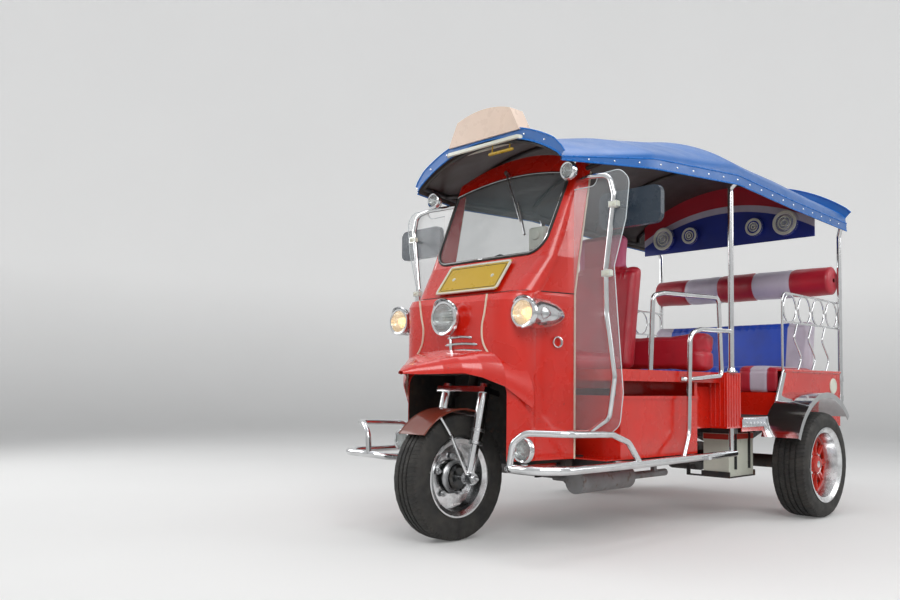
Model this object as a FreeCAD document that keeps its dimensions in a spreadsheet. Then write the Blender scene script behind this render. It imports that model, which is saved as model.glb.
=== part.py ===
"""Three-wheeled open taxi with a raked front fork, a hollow cab nose, an open rear tub and a canvas roof.

All lengths are millimetres.  Each sub-part is built with Y measured back from the front axle and Z up
from the ground, and its Placement then puts the middle of the vehicle over the row's origin.
"""
import FreeCAD, Part
import Sketcher
import math
import os
from types import SimpleNamespace
from FreeCAD import Vector

DOC = FreeCAD.newDocument("AutoRickshaw")
SHEET = DOC.addObject("Spreadsheet::Sheet", "Sizes")

# alias, value in mm or degrees, what it is
SIZES = (
    ("axle_row_y", -1175.75, "row Y of the front axle, so that the overall length is centred"),
    ("wheelbase", 1900, "front axle to rear axle"),
    ("front_tyre_radius", 268.5, "front tyre, outside"),
    ("front_tyre_width", 140, "front tyre section width"),
    ("front_rim_radius", 170, "front rim lip"),
    ("rear_tyre_radius", 270.5, "rear tyre, outside"),
    ("rear_tyre_width", 182, "rear tyre section width"),
    ("rear_rim_radius", 192, "rear rim lip"),
    ("rear_wheel_x", 719, "middle of a rear tyre from the centre line"),
    ("rim_wall", 7, "metal of the rims and their discs"),
    ("front_axle_radius", 10, "front axle shaft"),
    ("rear_stub_radius", 24, "rear stub shafts"),
    ("bearing_gap", 0.08, "running gap round a shaft"),
    ("rake", 14, "lean of the fork and of the steering axis, degrees"),
    ("fork_leg_x", 116, "middle of a fork leg from the centre line"),
    ("fork_leg_radius", 27, "upper sleeve of a fork leg"),
    ("fork_slider_radius", 19, "lower slider of a fork leg"),
    ("fork_leg_top", 405, "length of a fork leg above the axle, along the leg"),
    ("stem_offset", 34, "steering axis behind the fork legs"),
    ("stem_radius", 15, "steering stem"),
    ("head_wall", 7, "wall of the steering head tube"),
    ("head_length", 190, "steering head tube"),
    ("bar_height", 812, "handlebar above the axle, along the steering axis"),
    ("gauge_rise", 150, "round gauge above the handlebar"),
    ("neck_radius", 22, "neck tube behind the steering head"),
    ("bar_half", 235, "handlebar half width"),
    ("bar_radius", 11, "handlebar tube"),
    ("sheet_wall", 4, "pressed sheet of the nose, tub and boxes with its returns"),
    ("nose_y", 2, "front face of the nose"),
    ("nose_half", 235, "half width of the flat of the nose"),
    ("cab_half", 392, "half width of the cab at its pillars"),
    ("pillar_y", 353, "rear edge of the nose shell"),
    ("pillar_top_y", 440, "rear edge of the nose shell under the roof"),
    ("cowl_bottom", 352, "lower edge of the nose shell"),
    ("seam", 1052, "seam between the lower nose and the windscreen surround"),
    ("seam_y", 84, "panel at the seam, behind the shoulder of the nose"),
    ("scuttle", 1206, "lower edge of the windscreen panel"),
    ("scuttle_y", 198, "panel at the foot of the windscreen"),
    ("header_y", 425, "panel over the windscreen"),
    ("header", 1690, "top of the windscreen panel"),
    ("screen_half_top", 350, "windscreen half width at its head"),
    ("screen_half_foot", 338, "windscreen half width at its foot"),
    ("screen_foot", 1222, "lower edge of the glass"),
    ("screen_head", 1585, "upper edge of the glass at its corners"),
    ("screen_corner", 85, "round of the lower glass corners"),
    ("screen_thickness", 5, "windscreen glass"),
    ("arch_half", 306, "half width of the front wheel arch"),
    ("arch_top", 706, "roof of the front wheel arch"),
    ("arch_rear", 318, "rear wall of the front wheel arch"),
    ("floor_top", 356, "driver's floor, upper face"),
    ("rail_x", 265, "middle of a chassis rail from the centre line"),
    ("rail_width", 44, "chassis rail width"),
    ("rail_depth", 60, "chassis rail depth"),
    ("box_half", 555, "half width of the engine box under the driver"),
    ("box_front", 455, "front of the engine box"),
    ("box_rear", 1066, "rear of the engine box"),
    ("box_top", 620, "upper edge of the engine box"),
    ("shelf_top", 733, "upper face of the seat shelf"),
    ("shelf_depth", 50, "fascia of the seat shelf"),
    ("shelf_rear", 1254, "rear edge of the seat shelf"),
    ("bulkhead_rear", 1390, "rear face of the bulkhead behind the driver"),
    ("bulkhead_half", 604, "half width of the bulkhead"),
    ("bulkhead_foot", 464, "lower edge of the bulkhead"),
    ("tub_half", 608, "half width of the rear tub"),
    ("tub_floor", 512, "passenger floor, upper face"),
    ("tub_top", 756, "upper edge of the tub sides"),
    ("tub_foot", 446, "lower edge of the tub sides"),
    ("tub_rear", 2570, "rear wall of the tub"),
    ("tub_front_top", 1830, "front edge of a tub side, at the top"),
    ("tub_front_foot", 1715, "front edge of a tub side, at the floor"),
    ("bench_front", 1800, "front of the bench cushion"),
    ("bench_top", 778, "top of the bench cushion"),
    ("bench_depth", 140, "thickness of the bench cushion"),
    ("bench_back_y", 2335, "front of the bench back at its foot"),
    ("bench_back_top", 1064, "top of the bench back"),
    ("bench_back_depth", 95, "thickness of the bench back"),
    ("bolster_radius", 87, "striped bolster"),
    ("bolster_height", 1300, "middle of the bolster"),
    ("post_x", 600, "middle of a roof post from the centre line"),
    ("post_radius", 13.5, "roof posts"),
    ("mid_post_y", 1306, "middle posts"),
    ("rear_post_x", 606, "middle of a rear post from the centre line"),
    ("bolster_ahead", 36, "middle of the bolster in front of the rear posts"),
    ("bolster_half", 588, "half width of the bolster"),
    ("pad_half", 560, "half width of the pad behind the driver"),
    ("headrest_top", 725, "top of the headrest above the seat shelf"),
    ("roof_skin", 6, "canvas with its lining"),
    ("roof_tube_radius", 12, "roof frame tubes"),
    ("rail_tube_radius", 16, "lower side rails"),
    ("guard_tube_radius", 13, "upper guard tubes"),
    ("grab_tube_radius", 11, "grab rails and screen tubes"),
    ("side_rail_height", 342, "middle of the lower side rails"),
    ("side_rail_x", 640, "middle of a lower side rail from the centre line"),
    ("lamp_x", 386, "side headlamps from the centre line"),
    ("lamp_y", 27, "lens plane of the side headlamps"),
    ("lamp_height", 952, "side headlamps"),
    ("lamp_radius", 64, "side headlamps"),
    ("lamp_length", 262, "side headlamp bullets"),
    ("nose_lamp_radius", 77, "middle headlamp"),
    ("nose_lamp_y", -48, "lens plane of the middle headlamp"),
    ("nose_lamp_height", 943, "middle headlamp"),
    ("tow_height", 412, "middle of the tow plate's holes"),
    ("tow_hole_radius", 6.5, "holes of the tow plate"),
    ("battery_ahead", 225, "rear face of the battery ahead of the rear axle"),
    ("battery_length", 250, "battery along the vehicle"),
    ("battery_width", 140, "battery across the vehicle"),
    ("battery_height", 215, "battery case"),
    ("battery_side", 520, "outer face of the battery"),
    ("battery_seat", 215, "battery tray, upper face"),
)
for row, (alias, value, note) in enumerate(SIZES, start=1):
    SHEET.set("A%d" % row, alias)
    SHEET.set("B%d" % row, str(value))
    SHEET.set("C%d" % row, note)
    SHEET.setAlias("B%d" % row, alias)
DOC.recompute()


class Size(float):
    """A length that also remembers how the sheet gives it, so that an object can be bound to it."""

    def __new__(cls, value, formula=None):
        size = super().__new__(cls, value)
        size.formula = formula if formula is not None else repr(float(value))
        return size

    def _with(self, sign, other, value, swapped=False):
        other = other if isinstance(other, Size) else Size(other)
        pair = (other.formula, self.formula) if swapped else (self.formula, other.formula)
        return Size(value, "(%s %s %s)" % (pair[0], sign, pair[1]))

    def __add__(self, other):
        return self._with("+", other, float(self) + float(other))

    def __radd__(self, other):
        return self._with("+", other, float(other) + float(self), True)

    def __sub__(self, other):
        return self._with("-", other, float(self) - float(other))

    def __rsub__(self, other):
        return self._with("-", other, float(other) - float(self), True)

    def __mul__(self, other):
        return self._with("*", other, float(self) * float(other))

    def __rmul__(self, other):
        return self._with("*", other, float(other) * float(self), True)

    def __truediv__(self, other):
        return self._with("/", other, float(self) / float(other))

    def __neg__(self):
        return Size(-float(self), "(0 - %s)" % self.formula)


S = SimpleNamespace(**{alias: Size(float(SHEET.get(alias)), "Sizes." + alias) for alias, _, _ in SIZES})

UP = Vector(0, 0, 1)
BACK = Vector(0, 1, 0)
LEFT = Vector(1, 0, 0)
SIDES = (1, -1)
RAKE = math.radians(S.rake)
STEER_AXIS = Vector(0, math.sin(RAKE), math.cos(RAKE))
SUBPARTS = []


def bind(obj, **sizes):
    """Tie an object's properties to the sheet through the sizes' own formulas."""
    for name, size in sizes.items():
        path = name.replace("at_", "Placement.Base.") if name.startswith("at_") else name
        obj.setExpression(path, size.formula if isinstance(size, Size) else repr(float(size)))
    return obj


def keep(label, obj, y=0):
    """Name a finished sub-part and put the vehicle's middle over the origin."""
    obj.Label = label
    obj.setExpression("Placement.Base.y", (S.axle_row_y + y).formula)
    SUBPARTS.append(obj)
    return obj


def feature(label, shape):
    """A sub-part whose shape is made by the functions below."""
    obj = DOC.addObject("Part::Feature", label)
    obj.Shape = shape
    obj.Placement = FreeCAD.Placement(Vector(0, S.axle_row_y, 0), FreeCAD.Rotation())
    return keep(label, obj)


def box(name, x, y, z):
    """A block bound to the sheet between two limits on each axis."""
    obj = DOC.addObject("Part::Box", name)
    bind(obj, Length=x[1] - x[0], Width=y[1] - y[0], Height=z[1] - z[0])
    return bind(obj, at_x=x[0], at_y=y[0], at_z=z[0])


def drum(name, axis, start, length, radius):
    """A round bar bound to the sheet, along X, Y or Z from its start."""
    obj = DOC.addObject("Part::Cylinder", name)
    obj.Placement.Rotation = FreeCAD.Rotation(UP, axis)
    bind(obj, Radius=radius, Height=length)
    return bind(obj, at_x=start[0], at_y=start[1], at_z=start[2])


def less(name, base, *tools):
    """One object with others cut out of it."""
    for number, tool in enumerate(tools):
        cut = DOC.addObject("Part::Cut", "%s_cut%d" % (name, number))
        cut.Base = base
        cut.Tool = tool
        base = cut
    return base


def merged(name, *pieces):
    """Several objects as one."""
    fuse = DOC.addObject("Part::MultiFuse", name + "_fuse")
    fuse.Shapes = list(pieces)
    fuse.Refine = True
    return fuse


def grouped(name, *pieces):
    """Several solids as one sub-part, each kept as it is."""
    group = DOC.addObject("Part::Compound", name + "_group")
    group.Links = list(pieces)
    return group


def plane_of(body, role):
    return next(item for item in body.Origin.OriginFeatures if item.Role == role)


def outline(body, role, corners, name):
    """A closed sketch whose corners are held at their sizes from the body's origin."""
    sketch = body.newObject("Sketcher::SketchObject", name)
    sketch.AttachmentSupport = [(plane_of(body, role), "")]
    sketch.MapMode = "FlatFace"
    points = [Vector(float(a), float(b), 0) for a, b in corners]
    count = len(points)
    for number in range(count):
        sketch.addGeometry(Part.LineSegment(points[number], points[(number + 1) % count]), False)
    for number in range(count):
        sketch.addConstraint(Sketcher.Constraint("Coincident", number, 2, (number + 1) % count, 1))
    for number, corner in enumerate(corners):
        for kind, axis, size in zip(("DistanceX", "DistanceY"), (-2, -1), corner):
            if not size:
                sketch.addConstraint(Sketcher.Constraint("PointOnObject", number, 1, axis))
                continue
            index = sketch.addConstraint(Sketcher.Constraint(kind, -1, 1, number, 1, float(size)))
            formula = size.formula if isinstance(size, Size) else repr(float(size))
            sketch.setExpression("Constraints[%d]" % index, formula)
    return sketch


def turned(name, profile, centre, flip=False):
    """A body revolved about X: (distance along X, radius) corners about a centre."""
    body = DOC.addObject("PartDesign::Body", name)
    sketch = outline(body, "XZ_Plane", profile, name + "_outline")
    spin = body.newObject("PartDesign::Revolution", name + "_turn")
    spin.Profile = sketch
    spin.ReferenceAxis = (sketch, ["H_Axis"])
    spin.Angle = 360
    body.Placement.Rotation = FreeCAD.Rotation(UP, 180 if flip else 0)
    bind(body, at_x=centre[0], at_y=centre[1], at_z=centre[2])
    return body


def slab(name, side_view, x0, x1):
    """A body padded across the vehicle from a side view of (Y, Z) corners."""
    body = DOC.addObject("PartDesign::Body", name)
    sketch = outline(body, "YZ_Plane", side_view, name + "_outline")
    pad = body.newObject("PartDesign::Pad", name + "_pad")
    pad.Profile = sketch
    bind(pad, Length=x1 - x0)
    bind(body, at_x=x0)
    return body


def mirror_of(name, obj):
    """The same piece on the other side of the vehicle."""
    twin = DOC.addObject("Part::Mirroring", name + "_mirror")
    twin.Source = obj
    twin.Base = Vector(0, 0, 0)
    twin.Normal = LEFT
    return twin


# Bare shapes for the curved pieces

def block(x0, x1, y0, y1, z0, z1):
    return Part.makeBox(x1 - x0, y1 - y0, z1 - z0, Vector(x0, y0, z0))


def rod(start, end, radius):
    start = Vector(*start)
    run = Vector(*end) - start
    return Part.makeCylinder(radius, run.Length, start, run)


def flipped(shape):
    """The same shape on the vehicle's other side."""
    return shape.mirror(Vector(0, 0, 0), LEFT)


def both_sides(shape):
    """A shape and its mirror image."""
    return Part.Compound(shape.Solids + flipped(shape).Solids)


def joined(*shapes):
    """One solid from shapes that overlap."""
    return shapes[0].multiFuse(list(shapes[1:])).removeSplitter()


def biggest(shape):
    return max(shape.Solids, key=lambda solid: solid.Volume)


def butted(pieces, holes):
    """Solids that meet face to face: each gives way to those before it in the list."""
    solids = []
    for piece in pieces:
        cut = piece.cut(holes)
        if solids:
            cut = cut.cut(Part.Compound(solids))
        solids.extend(cut.Solids)
    return Part.Compound(solids)


def tube_path(points, bend):
    """Straight runs joined by tangent arcs of one bend radius, or as large as the runs allow."""
    points = [Vector(*point) for point in points]
    edges = []
    start = points[0]
    for before, here, after in zip(points[:-2], points[1:-1], points[2:]):
        into = (here - before).normalize()
        out = (after - here).normalize()
        half_turn = into.getAngle(out) / 2
        reach = 0.45 * min((here - before).Length, (after - here).Length)
        cut = min(bend * math.tan(half_turn), reach)
        inward = (out - into).normalize()
        radius = cut / math.tan(half_turn)
        crest = here + inward * (radius / math.cos(half_turn) - radius)
        edges.append(Part.LineSegment(start, here - into * cut).toShape())
        edges.append(Part.Arc(here - into * cut, crest, here + out * cut).toShape())
        start = here + out * cut
    edges.append(Part.LineSegment(start, points[-1]).toShape())
    return Part.Wire(edges)


def tube(points, radius, bend=50.0):
    """A round bar along a path."""
    path = tube_path(points, bend)
    run = Vector(*points[1]) - Vector(*points[0])
    ring = Part.Wire([Part.Circle(Vector(*points[0]), run, radius).toShape()])
    return path.makePipeShell([ring], True, False, 2)


def spun(profile, centre, axis):
    """Revolve a wire of (distance along the axis, radius) edges or corners about an axis."""
    axis = Vector(axis).normalize()
    side = UP if abs(axis.z) < 0.9 else BACK
    side = (side - axis * side.dot(axis)).normalize()
    place = lambda point: Vector(*centre) + axis * point[0] + side * point[1]
    edges = []
    for piece in profile:
        ends = [place(point) for point in piece]
        edge = Part.LineSegment(*ends) if len(ends) == 2 else Part.Arc(*ends)
        edges.append(edge.toShape())
    face = Part.Face(Part.Wire(edges))
    facing = face.normalAt(0, 0).dot(axis.cross(face.CenterOfMass - Vector(*centre)))
    return face.revolve(Vector(*centre), axis if facing > 0 else -axis, 360)


def up_fork(distance, sideways=0.0, offset=0.0):
    """A point up the fork's lean from the front axle, offset back square to it."""
    y = distance * math.sin(RAKE) + offset * math.cos(RAKE)
    z = S.front_tyre_radius + distance * math.cos(RAKE) - offset * math.sin(RAKE)
    return Vector(sideways, y, z)


def dome(base, bulge, radius):
    """Arc of a round cap: from its top on the axis, bulge away from base, to its edge."""
    ball = (radius ** 2 + bulge ** 2) / (2 * abs(bulge))
    half = math.asin(radius / ball) / 2
    sign = 1 if bulge > 0 else -1
    shoulder = (base + bulge - sign * ball * (1 - math.cos(half)), ball * math.sin(half))
    return ((base + bulge, 0), shoulder, (base, radius))


def along_fork(radius, low, high, sideways=0.0, offset=0.0):
    return Part.makeCylinder(radius, high - low, up_fork(low, sideways, offset), STEER_AXIS)


# Nose shell: height, front face, half width of its flat, start of the side, rear edge
NOSE_ROWS = (
    (S.cowl_bottom, S.nose_y, S.nose_half, S.nose_y + 140, S.pillar_y),
    (S.seam - 42, S.nose_y, S.nose_half, S.nose_y + 140, S.pillar_y),
    (S.seam - 14, S.nose_y + 22, S.nose_half + 10, S.nose_y + 148, S.pillar_y),
    (S.seam, S.seam_y, S.nose_half + 32, S.seam_y + 96, S.pillar_y),
    (S.scuttle, S.scuttle_y, S.nose_half + 80, S.scuttle_y + 66, S.pillar_y + 28),
    (S.header + 60, S.header_y + 24, S.nose_half + 112, S.header_y + 52, S.pillar_top_y + 46),
)


def nose_edges(row, inset):
    """One height of the nose shell from its left rear edge round the front to the right one."""
    height, front, flat, side, rear = row
    half = S.cab_half
    narrow = half - (36 if rear <= S.pillar_y else 8)
    edge = Vector(half - inset, rear, height)
    start = Vector(narrow - inset, side + inset * 0.4, height)
    end = Vector(flat - inset * 0.4, front + inset, height)
    round_off = 0.26
    bulge = Vector(narrow - inset * 0.8 - (narrow - flat) * round_off,
                   front + inset * 0.8 + (side - front) * round_off, height)
    turn = lambda point: Vector(-point.x, point.y, point.z)
    line = lambda a, b: Part.LineSegment(a, b).toShape()
    return [line(edge, start), Part.Arc(start, bulge, end).toShape(), line(end, turn(end)),
            Part.Arc(turn(end), turn(bulge), turn(start)).toShape(), line(turn(start), turn(edge))]


def nose_band(row):
    """Closed band of one height of the nose shell."""
    outer = nose_edges(row, 0.0)
    inner = nose_edges(row, S.sheet_wall)
    height, rear = row[0], row[-1]
    ends = []
    for side in SIDES:
        outside = Vector(side * S.cab_half, rear, height)
        inside = Vector(side * (S.cab_half - S.sheet_wall), rear, height)
        ends.append(Part.LineSegment(outside, inside).toShape())
    return Part.Wire(Part.__sortEdges__(outer + inner + ends))


SCREEN_UP = Vector(0, S.header_y + 24 - S.scuttle_y, S.header + 60 - S.scuttle).normalize()
SCREEN_IN = Vector(0, SCREEN_UP.z, -SCREEN_UP.y)


def on_screen(x, z, inward=0.0):
    """A point of the windscreen panel's outer face at a height, or some way into the cab."""
    y = S.scuttle_y + (z - S.scuttle) * SCREEN_UP.y / SCREEN_UP.z
    return Vector(x, y, z) + SCREEN_IN * inward


def screen_prism(start, end):
    """The glass outline with its arched head and round lower corners, from one depth to another."""
    foot = float(S.screen_foot)
    head = float(S.screen_head)
    corner = float(S.screen_corner)
    slope = (S.screen_half_top - S.screen_half_foot) / (head - foot)
    inset = corner * (1 - math.sqrt(0.5))
    at = lambda x, z: on_screen(x, z, start)
    low = (S.screen_half_foot - corner, foot)
    bow = (S.screen_half_foot - inset, foot + inset)
    high = (S.screen_half_foot + slope * corner, foot + corner)
    top = (S.screen_half_top, head)
    line = lambda a, b: Part.LineSegment(at(*a), at(*b)).toShape()
    arc = lambda a, b, c: Part.Arc(at(*a), at(*b), at(*c)).toShape()
    turn = lambda point: (-point[0], point[1])
    wire = Part.Wire([
        line(turn(low), low), arc(low, bow, high), line(high, top), arc(top, (0, head + 46), turn(top)),
        line(turn(top), turn(high)), arc(turn(high), turn(bow), turn(low)),
    ])
    return Part.Face(wire).extrude(SCREEN_IN * (end - start))


# Round of the wheel arch's upper corners, and of the windscreen surround's arched top
ARCH_CORNER = 85.0
CROWN_RADIUS = 830.0


def nose_plan(inset, low, high):
    """The plan of the lower nose, some way in from its face, as a block between two heights."""
    height, front, flat, side, rear = NOSE_ROWS[0]
    half = S.cab_half - inset
    edges = nose_edges((low, front, flat, side, rear), inset)
    closing = Part.LineSegment(Vector(-half, rear, low), Vector(half, rear, low)).toShape()
    return Part.Face(Part.Wire(edges + [closing])).extrude(UP * (high - low))


def nose_shell():
    """Lower nose and windscreen surround, open behind, under and over the wheel."""
    bands = [Part.makeLoft([nose_band(low), nose_band(high)], True, True)
             for low, high in zip(NOSE_ROWS[:-1], NOSE_ROWS[1:])]
    shell = joined(*bands)
    well = block(-S.arch_half, S.arch_half, -400, 250, S.cowl_bottom - 10, S.arch_top)
    corners = [edge for edge in well.Edges
               if edge.CenterOfMass.z > S.arch_top - 1 and abs(edge.tangentAt(0).y) > 0.9]
    well = well.makeFillet(ARCH_CORNER, corners)
    crown = S.header + 40
    over = block(-700, 700, -200, 700, crown - 200, crown + 300)
    over = over.cut(Part.makeCylinder(CROWN_RADIUS, 900, Vector(0, -200, crown - CROWN_RADIUS), BACK))
    return biggest(shell.cut(screen_prism(-60, 100)).cut(well).cut(over))


def arch_liner():
    """Dark inner walls round the front wheel, with the steering head's hole."""
    wall = S.sheet_wall
    outer_half = S.arch_half + wall
    outer = block(-outer_half, outer_half, 0, S.arch_rear + wall, S.cowl_bottom, S.arch_top)
    inner = block(-S.arch_half, S.arch_half, -1, S.arch_rear, S.cowl_bottom - 1, S.arch_top - wall)
    head_foot = S.fork_leg_top - 60
    head = along_fork(S.stem_radius + S.head_wall, head_foot, head_foot + 360, 0, S.stem_offset)
    return biggest(outer.cut(inner).cut(head).common(nose_plan(wall, S.cowl_bottom, S.arch_top)))


def footwell():
    """Floor of the nose on both sides of the wheel arch."""
    wall = S.sheet_wall
    plan = nose_plan(wall, S.cowl_bottom, S.cowl_bottom + wall)
    half = S.arch_half + wall
    return plan.cut(block(-half, half, -100, S.arch_rear + wall, 0, S.arch_top))


# Hood over the front wheel: distance back, half width, crown height, side height
BEAK_ROWS = (
    (-283, 14, 714, 702),
    (-235, 58, 740, 700),
    (-160, 124, 766, 703),
    (-110, 184, 781, 708),
    (-50, 240, 797, 690),
    (S.nose_y, S.arch_half + 12, 810, 654),
    (S.nose_y + 90, S.arch_half + 80, 810, 566),
)


def beak():
    """Arched hood that runs out to a tip and flares into the wheel arch, trimmed to the nose."""
    wall = S.sheet_wall + 1

    def band(y, half, crown, side):
        rise = crown - side

        def run(inset):
            foot = (half - inset, side)
            bulge = (0.95 * half - inset, side + 0.55 * rise)
            knee = (0.68 * half - 0.6 * inset, side + 0.93 * rise - 0.8 * inset)
            return foot, bulge, knee, (0, crown - inset)

        place = lambda point, sign=1: Vector(sign * point[0], y, point[1])
        edges = []
        for inset in (0, wall * min(1.0, half / 60)):
            foot, bulge, knee, top = run(inset)
            edges.append(Part.Arc(place(foot), place(bulge), place(knee)).toShape())
            edges.append(Part.Arc(place(knee), place(top), place(knee, -1)).toShape())
            edges.append(Part.Arc(place(knee, -1), place(bulge, -1), place(foot, -1)).toShape())
        thick = wall * min(1.0, half / 60)
        for sign in SIDES:
            ends = place((half, side), sign), place((half - thick, side), sign)
            edges.append(Part.LineSegment(*ends).toShape())
        return Part.Wire(Part.__sortEdges__(edges))

    bands = [band(*row) for row in BEAK_ROWS]
    hood = joined(*[Part.makeLoft(list(pair), True, True) for pair in zip(bands[:-1], bands[1:])])
    return biggest(hood.cut(nose_plan(0, S.cowl_bottom, S.seam - 42)))


# Roof cross-sections: distance back, half width, lower edge, height of the valance, crown
ROOF_ROWS = (
    (192, 448, 1592, 22, 1760),
    (620, 606, 1606, 66, 1842),
    (1280, 655, 1642, 88, 1962),
    (1880, 655, 1612, 86, 1944),
    (2590, 646, 1594, 80, 1898),
)


def roof_band(y, half, edge, valance, crown):
    """Closed band of one roof section: outside over the top and inside back."""
    skin = S.roof_skin
    shoulder = edge + valance
    inner = half - skin
    line = lambda a, b: Part.LineSegment(Vector(a[0], y, a[1]), Vector(b[0], y, b[1])).toShape()
    arc = lambda a, b, c: Part.Arc(*(Vector(p[0], y, p[1]) for p in (a, b, c))).toShape()
    return Part.Wire([
        line((half, edge), (half, shoulder)),
        arc((half, shoulder), (0, crown), (-half, shoulder)),
        line((-half, shoulder), (-half, edge)),
        line((-half, edge), (-inner, edge)),
        line((-inner, edge), (-inner, shoulder - skin)),
        arc((-inner, shoulder - skin), (0, crown - skin), (inner, shoulder - skin)),
        line((inner, shoulder - skin), (inner, edge)),
        line((inner, edge), (half, edge)),
    ])


def roof():
    """Stretched canvas roof with side valances, creased over its bows."""
    bands = [roof_band(*row) for row in ROOF_ROWS]
    return joined(*[Part.makeLoft(list(pair), True, True) for pair in zip(bands[:-1], bands[1:])])


def roof_at(y):
    """Half width, lower edge, valance and crown of the roof at a distance back."""
    for low, high in zip(ROOF_ROWS[:-1], ROOF_ROWS[1:]):
        if low[0] <= y <= high[0]:
            part = (y - low[0]) / (high[0] - low[0])
            return [float(a + (b - a) * part) for a, b in zip(low[1:], high[1:])]
    return [float(value) for value in ROOF_ROWS[-1][1:]]


RAIL_LIFT = 30.0
REAR_POST_Y = S.tub_rear + S.post_radius
FRONT_BOW = ROOF_ROWS[0][0] + 26
REAR_BOW = ROOF_ROWS[-1][0] - 26
SPEAKER_BOW = 2350.0
BOW_RADIUS = S.roof_tube_radius - 1.5


def roof_rail_at(y):
    """Middle of the roof's side rail: how far out and how high."""
    half, edge, valance, crown = roof_at(y)
    return half - S.roof_skin - S.roof_tube_radius + 0.6, edge + RAIL_LIFT


def roof_bow(y):
    """One bar bent to the underside of the canvas from side rail to side rail."""
    half, edge, valance, crown = roof_at(y)
    side, foot = roof_rail_at(y)
    lift = S.roof_skin + BOW_RADIUS - 0.6
    shoulder = max(edge + valance - S.roof_skin, foot)
    corner = Vector(side, y, shoulder)
    arc = Part.Arc(corner, Vector(0, y, crown - lift), Vector(-side, y, shoulder)).toShape()
    ring = Part.Wire([Part.Circle(corner, arc.tangentAt(arc.FirstParameter), BOW_RADIUS).toShape()])
    pieces = [Part.Wire([arc]).makePipeShell([ring], True, False)]
    for reach in (side, -side):
        pieces.append(Part.makeSphere(BOW_RADIUS, Vector(reach, y, shoulder)))
        if shoulder > foot:
            pieces.append(rod((reach, y, foot), (reach, y, shoulder), BOW_RADIUS))
    return joined(*pieces)


def roof_frame(canvas, nose):
    """Side rails and bows under the canvas, with stays to the windscreen surround, trimmed to both."""
    stations = [FRONT_BOW] + [row[0] for row in ROOF_ROWS[1:-1]] + [REAR_BOW]
    rail = tube([(roof_rail_at(y)[0], y, roof_rail_at(y)[1]) for y in stations], S.roof_tube_radius, 400)
    bows = [roof_bow(y) for y in stations + [SPEAKER_BOW]]
    out, high = roof_rail_at(442)
    stay = biggest(rod((370, 442, 1612), (out, 442, high), 10).cut(nose))
    return biggest(joined(rail, flipped(rail), stay, flipped(stay), *bows).cut(canvas))


def roof_posts(frame, canvas):
    """Two middle and two rear posts up to the roof's side rails."""
    x = S.post_x
    y = S.mid_post_y
    out, high = roof_rail_at(y)
    middle = tube([(x, y, S.shelf_top), (x, y, high - 34), (out, y, high)], S.post_radius, 24)
    x = S.rear_post_x
    y = REAR_POST_Y
    out, high = roof_rail_at(REAR_BOW)
    rear = tube([(x, y, S.tub_floor + 60), (x, y, high - 60), (out, REAR_BOW, high)], S.post_radius, 40)
    pads = [block(x - 17, S.tub_half, S.tub_rear, y, z, z + 40) for z in (S.tub_floor + 76, S.tub_top - 56)]
    pair = [biggest(post.cut(frame).cut(canvas)) for post in (middle, joined(rear, *pads))]
    return both_sides(Part.Compound(pair))


def tyre(name, centre, radius, width, rim_half, lip):
    """Tyre seated between the rim's lips, as one turned body."""
    half = width / 2
    belly = (radius + lip) / 2
    foot = [(14 - rim_half, lip - RIM_DROP), (6 - rim_half, lip)]
    side = [(half * -0.97, lip + 12), (-half, belly), (half * -0.955, radius - 26), (16 - half, radius - 5),
            (half * -0.42, radius)]
    left = foot + side
    return turned(name, left + [(-across, high) for across, high in reversed(left)], centre)


RIM_DROP = 16.0
FRONT_RIM_INSET = 8.0
REAR_RIM_INSET = 4.0
REAR_WINDOWS = 10


def front_rim(centre):
    """Bright pressed rim with a deep set, pierced disc and a drum hub, as one turned body."""
    half = S.front_tyre_width / 2 - FRONT_RIM_INSET
    lip = S.front_rim_radius
    wall = S.rim_wall
    seat = lip - RIM_DROP
    bore = S.front_axle_radius + S.bearing_gap
    profile = [(half, lip), (half, lip - wall), (half - 10, seat - wall - 3), (Size(4), seat - wall - 12),
               (Size(4), Size(58)), (Size(52), Size(52)), (Size(58), Size(40)), (Size(58), bore),
               (Size(-58), bore), (Size(-58), Size(60)), (Size(-50), Size(66)), (Size(-4), Size(66)),
               (Size(-4), seat - wall - 12), (10 - half, seat - wall - 3), (-half, lip - wall), (-half, lip),
               (6 - half, lip), (14 - half, seat), (half - 14, seat), (half - 6, lip)]
    return turned("front_rim", profile, centre)


def rear_rim(name, centre, flip):
    """Deep lipped rim with a ten-windowed centre set far in, as one turned and pierced body."""
    half = S.rear_tyre_width / 2 - REAR_RIM_INSET
    lip = S.rear_rim_radius
    wall = S.rim_wall
    seat = lip - RIM_DROP
    bore = S.rear_stub_radius + S.bearing_gap
    disc = Size(12)
    profile = [(half, lip), (half, lip - wall), (half - 12, seat - wall - 4), (disc, seat - wall - 18),
               (disc + 8, Size(50)), (disc + 30, Size(44)), (disc + 34, Size(28)), (disc + 34, Size(0)),
               (disc + 24, Size(0)), (disc + 24, bore), (Size(-40), bore), (Size(-40), Size(60)),
               (disc - 12, Size(66)), (disc - 12, seat - wall - 18), (12 - half, seat - wall - 4),
               (-half, lip - wall), (-half, lip), (6 - half, lip), (14 - half, seat), (half - 14, seat),
               (half - 6, lip)]
    body = turned(name, profile, centre, flip)
    DOC.recompute()
    far = seat - wall - 30
    corners = [(Size(-9), Size(72)), (Size(9), Size(72)), (Size(24), far), (Size(-24), far)]
    window = outline(body, "YZ_Plane", corners, name + "_window")
    pocket = body.newObject("PartDesign::Pocket", name + "_pierce")
    pocket.Profile = window
    pocket.Type = 1
    pocket.Midplane = True
    DOC.recompute()
    ring = body.newObject("PartDesign::PolarPattern", name + "_windows")
    ring.Originals = [pocket]
    ring.Axis = (plane_of(body, "X_Axis"), [""])
    ring.Angle = 360
    ring.Occurrences = REAR_WINDOWS
    body.Tip = ring
    return body


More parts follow.
